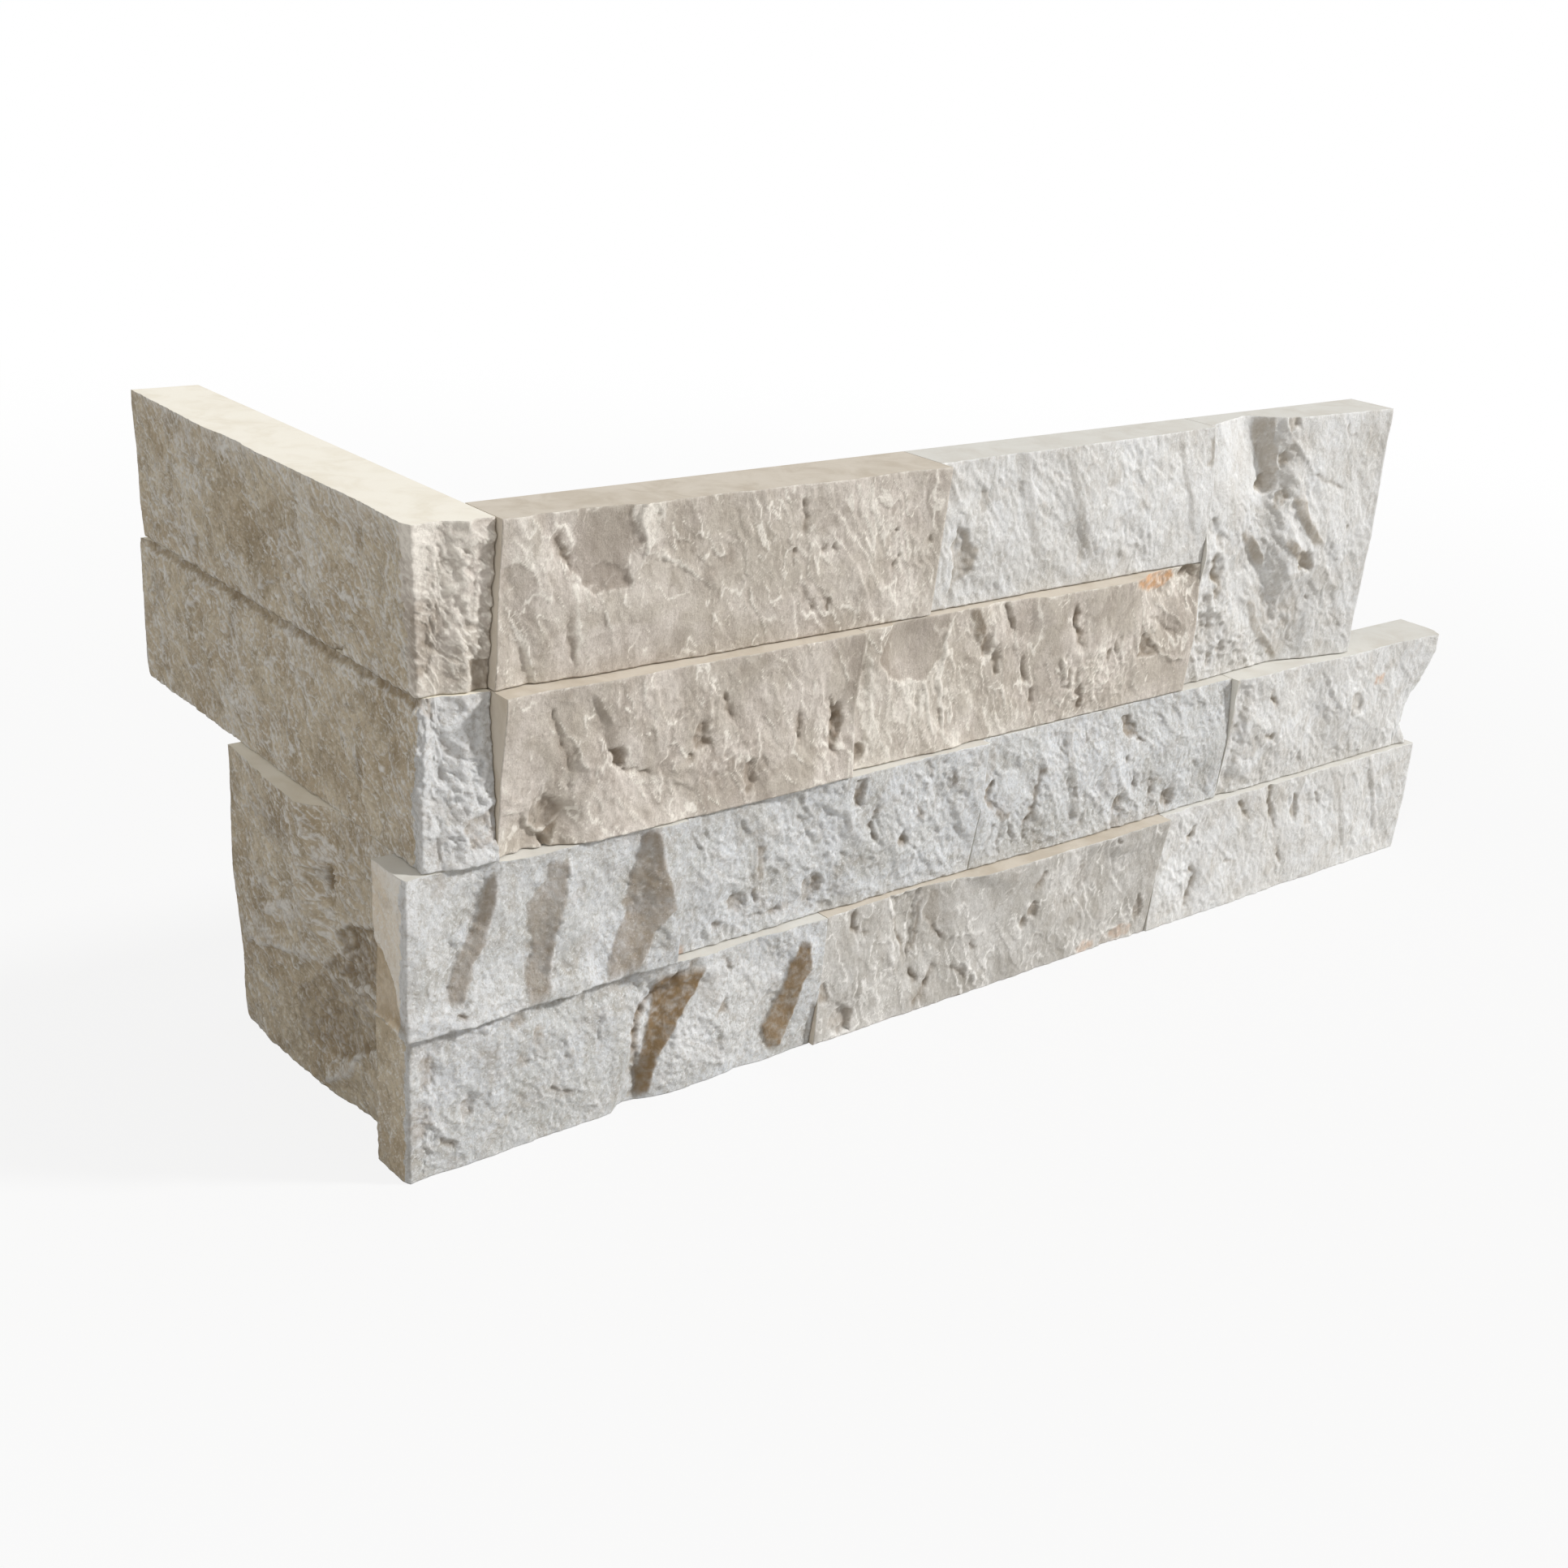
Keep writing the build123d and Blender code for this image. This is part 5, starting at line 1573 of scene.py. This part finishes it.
        Facet(box(6, 100, 20, 160), edge=6, sink=-2.4),
    ),
    "second_return_strip": (
        Facet(box(-8, 74, 18, 115), edge=2, calm=0.3, crumble=0.25, light=0.6),
        Facet(box(-8, 111, 18, 115), edge=1, calm=0.8),
        Facet(box(6, 60, 20, 120), edge=6, sink=-2.4),
        Facet(((9, 86), (17, 88), (17, 78), (10, 79)), edge=1.5, sink=0.5, stain_and_shade=0.45),
    ),
}
# Breaks seen square on to the short leg
SIDE: dict[str, tuple[Feature, ...]] = {
    "top_return_strip": (
        # dark line along the joint under this strip, partly a dark joint and partly painted shadow
        Facet(box(-12, 109, 150, 113.6), edge=0.9, sink=0.5, stain_and_shade=0.3),
        Facet(((36, 115.5), (40, 114.5), (40.5, 111), (36.5, 111)), sink=1.0, bowl=0.6, stain_and_shade=0.6),
        arris(1.4, 0.7, 0.4, (68, 121), (72, 119.5), (76, 117)),
        Facet(box(0, 143, 145, 152), edge=4, calm=0.3, light=0.2),
        Facet(((60, 146), (96, 144), (100, 124), (70, 120)), edge=8, light=-0.25),
        Facet(((6, 140), (30, 142), (34, 122), (10, 118)), edge=8, light=-0.15),
    ),
    "second_return_strip": (
        # dark line along the joint under the strip above, partly a dark joint and partly painted shadow
        Facet(box(-12, 111, 150, 118), edge=1.2, sink=1.2, stain_and_shade=0.55),
        arris(1.4, 0.7, 0.45, (118, 101.5), (113, 104), (108, 106.5)),
        arris(1.3, 0.7, 0.45, (73, 99.5), (69, 102.5), (65, 105)),
        Facet(((80, 80), (78, 108), (100, 112), (102, 82)), edge=7, light=0.25),
        Facet(((20, 82), (16, 106), (46, 110), (52, 84)), edge=8, light=-0.2),
    ),
    "return_block": (
        # facets sunk behind the front strips and painted darker, as painted shadow in the recess
        Facet(((36, 78), (19, 78), (15, 36), (28, 34), (50, 30), (40, 45), (37, 60)), edge=3, stain_and_shade=0.15),
        Facet(((42, 45), (30, 50), (19, 54), (18, 44), (24, 36), (36, 34), (49, 33), (44, 37), (37, 40)),
            sink=1.4, tilt=(0.06, 0), edge=1.2, stain_and_shade=0.75),
        Facet(((60, 12), (62, 21), (50, 30), (34, 34), (19, 34), (19, 24), (30, 18), (38, 12), (50, 10)),
            sink=0.8, tilt=(0.05, 0), edge=1.8, stain_and_shade=0.55),
        Facet(patch(64, 56, 84, 64), edge=3, stain_and_shade=0.3),
        Facet(patch(22, 66, 42, 75), edge=2.5, stain_and_shade=0.25),
        arris(1.6, 0.9, 0.4, (52, 60), (46, 61), (40, 63)),
        arris(1.5, 0.8, 0.35, (40, 64), (35, 65), (30, 67)),
        pit((41.5, 54.5, 44.5, 60), 1.0, 0.8, 0.6),
        pit((33, 42, 36.5, 46.5), 1.0, 0.7, 0.6),
        pit((33, 35.5, 36.5, 39.5), 0.9, 0.7, 0.6),
        arris(1.8, 1.0, 0.35, (92, 22), (75, 27), (50, 34), (45, 33)),
        Facet(((93, 23), (93, 30), (78, 33), (74, 28)), edge=1.5, tilt=(0, -0.1), light=0.3),
        Facet(((80, 36), (64, 44), (60, 40), (72, 34)), edge=1.2, tilt=(0, -0.12), light=0.35),
        arris(1.3, 0.8, 0.3, (82, 34), (72, 38), (64, 43)),
        arris(2.0, 1.0, 0.45, (50, 1), (42, 6), (35, 10), (28, 20)),
        Facet(((60, 72), (92, 70), (94, 46), (66, 48)), edge=8, light=-0.12),
    ),
    "third_corner_stone": (
        Facet(box(-3, 34, 34, 80), edge=3, calm=0.75, light=0.6),
        # sunken hollow low on the end, painted darker as painted shade where the end falls back
        Facet(((8, 32), (16, 44), (24, 53), (34, 54), (34, 32)), sink=1.2, edge=2, calm=0.5, stain_and_shade=0.42,
            light=-0.6),
    ),
    "bottom_corner_stone": (
        Facet(box(-3, -6, 34, 42), edge=3, calm=0.4),
    ),
}

def main() -> None:
    """Loads the frame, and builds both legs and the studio."""
    logging.basicConfig(level=logging.INFO, format="%(message)s")
    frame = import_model()
    packed = [list(v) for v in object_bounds()]
    strip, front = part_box("top_return_strip")[1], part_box("top_left_stone")[1]
    corner = np.array([strip.x - SHORT_BACK * MM, front.y - LONG_BACK * MM, 0.0])
    model = Packed(frame["nodes"], (np.array(packed[0]), np.array(packed[1])), corner)
    for leg in (LongLeg(model), ShortLeg(model)):
        leg.build()
    studio = Studio()
    studio.camera(corner)
    studio.lights()
    studio.floor()
    bpy.context.scene.view_settings.view_transform = "Standard"


if __name__ == "__main__":
    main()
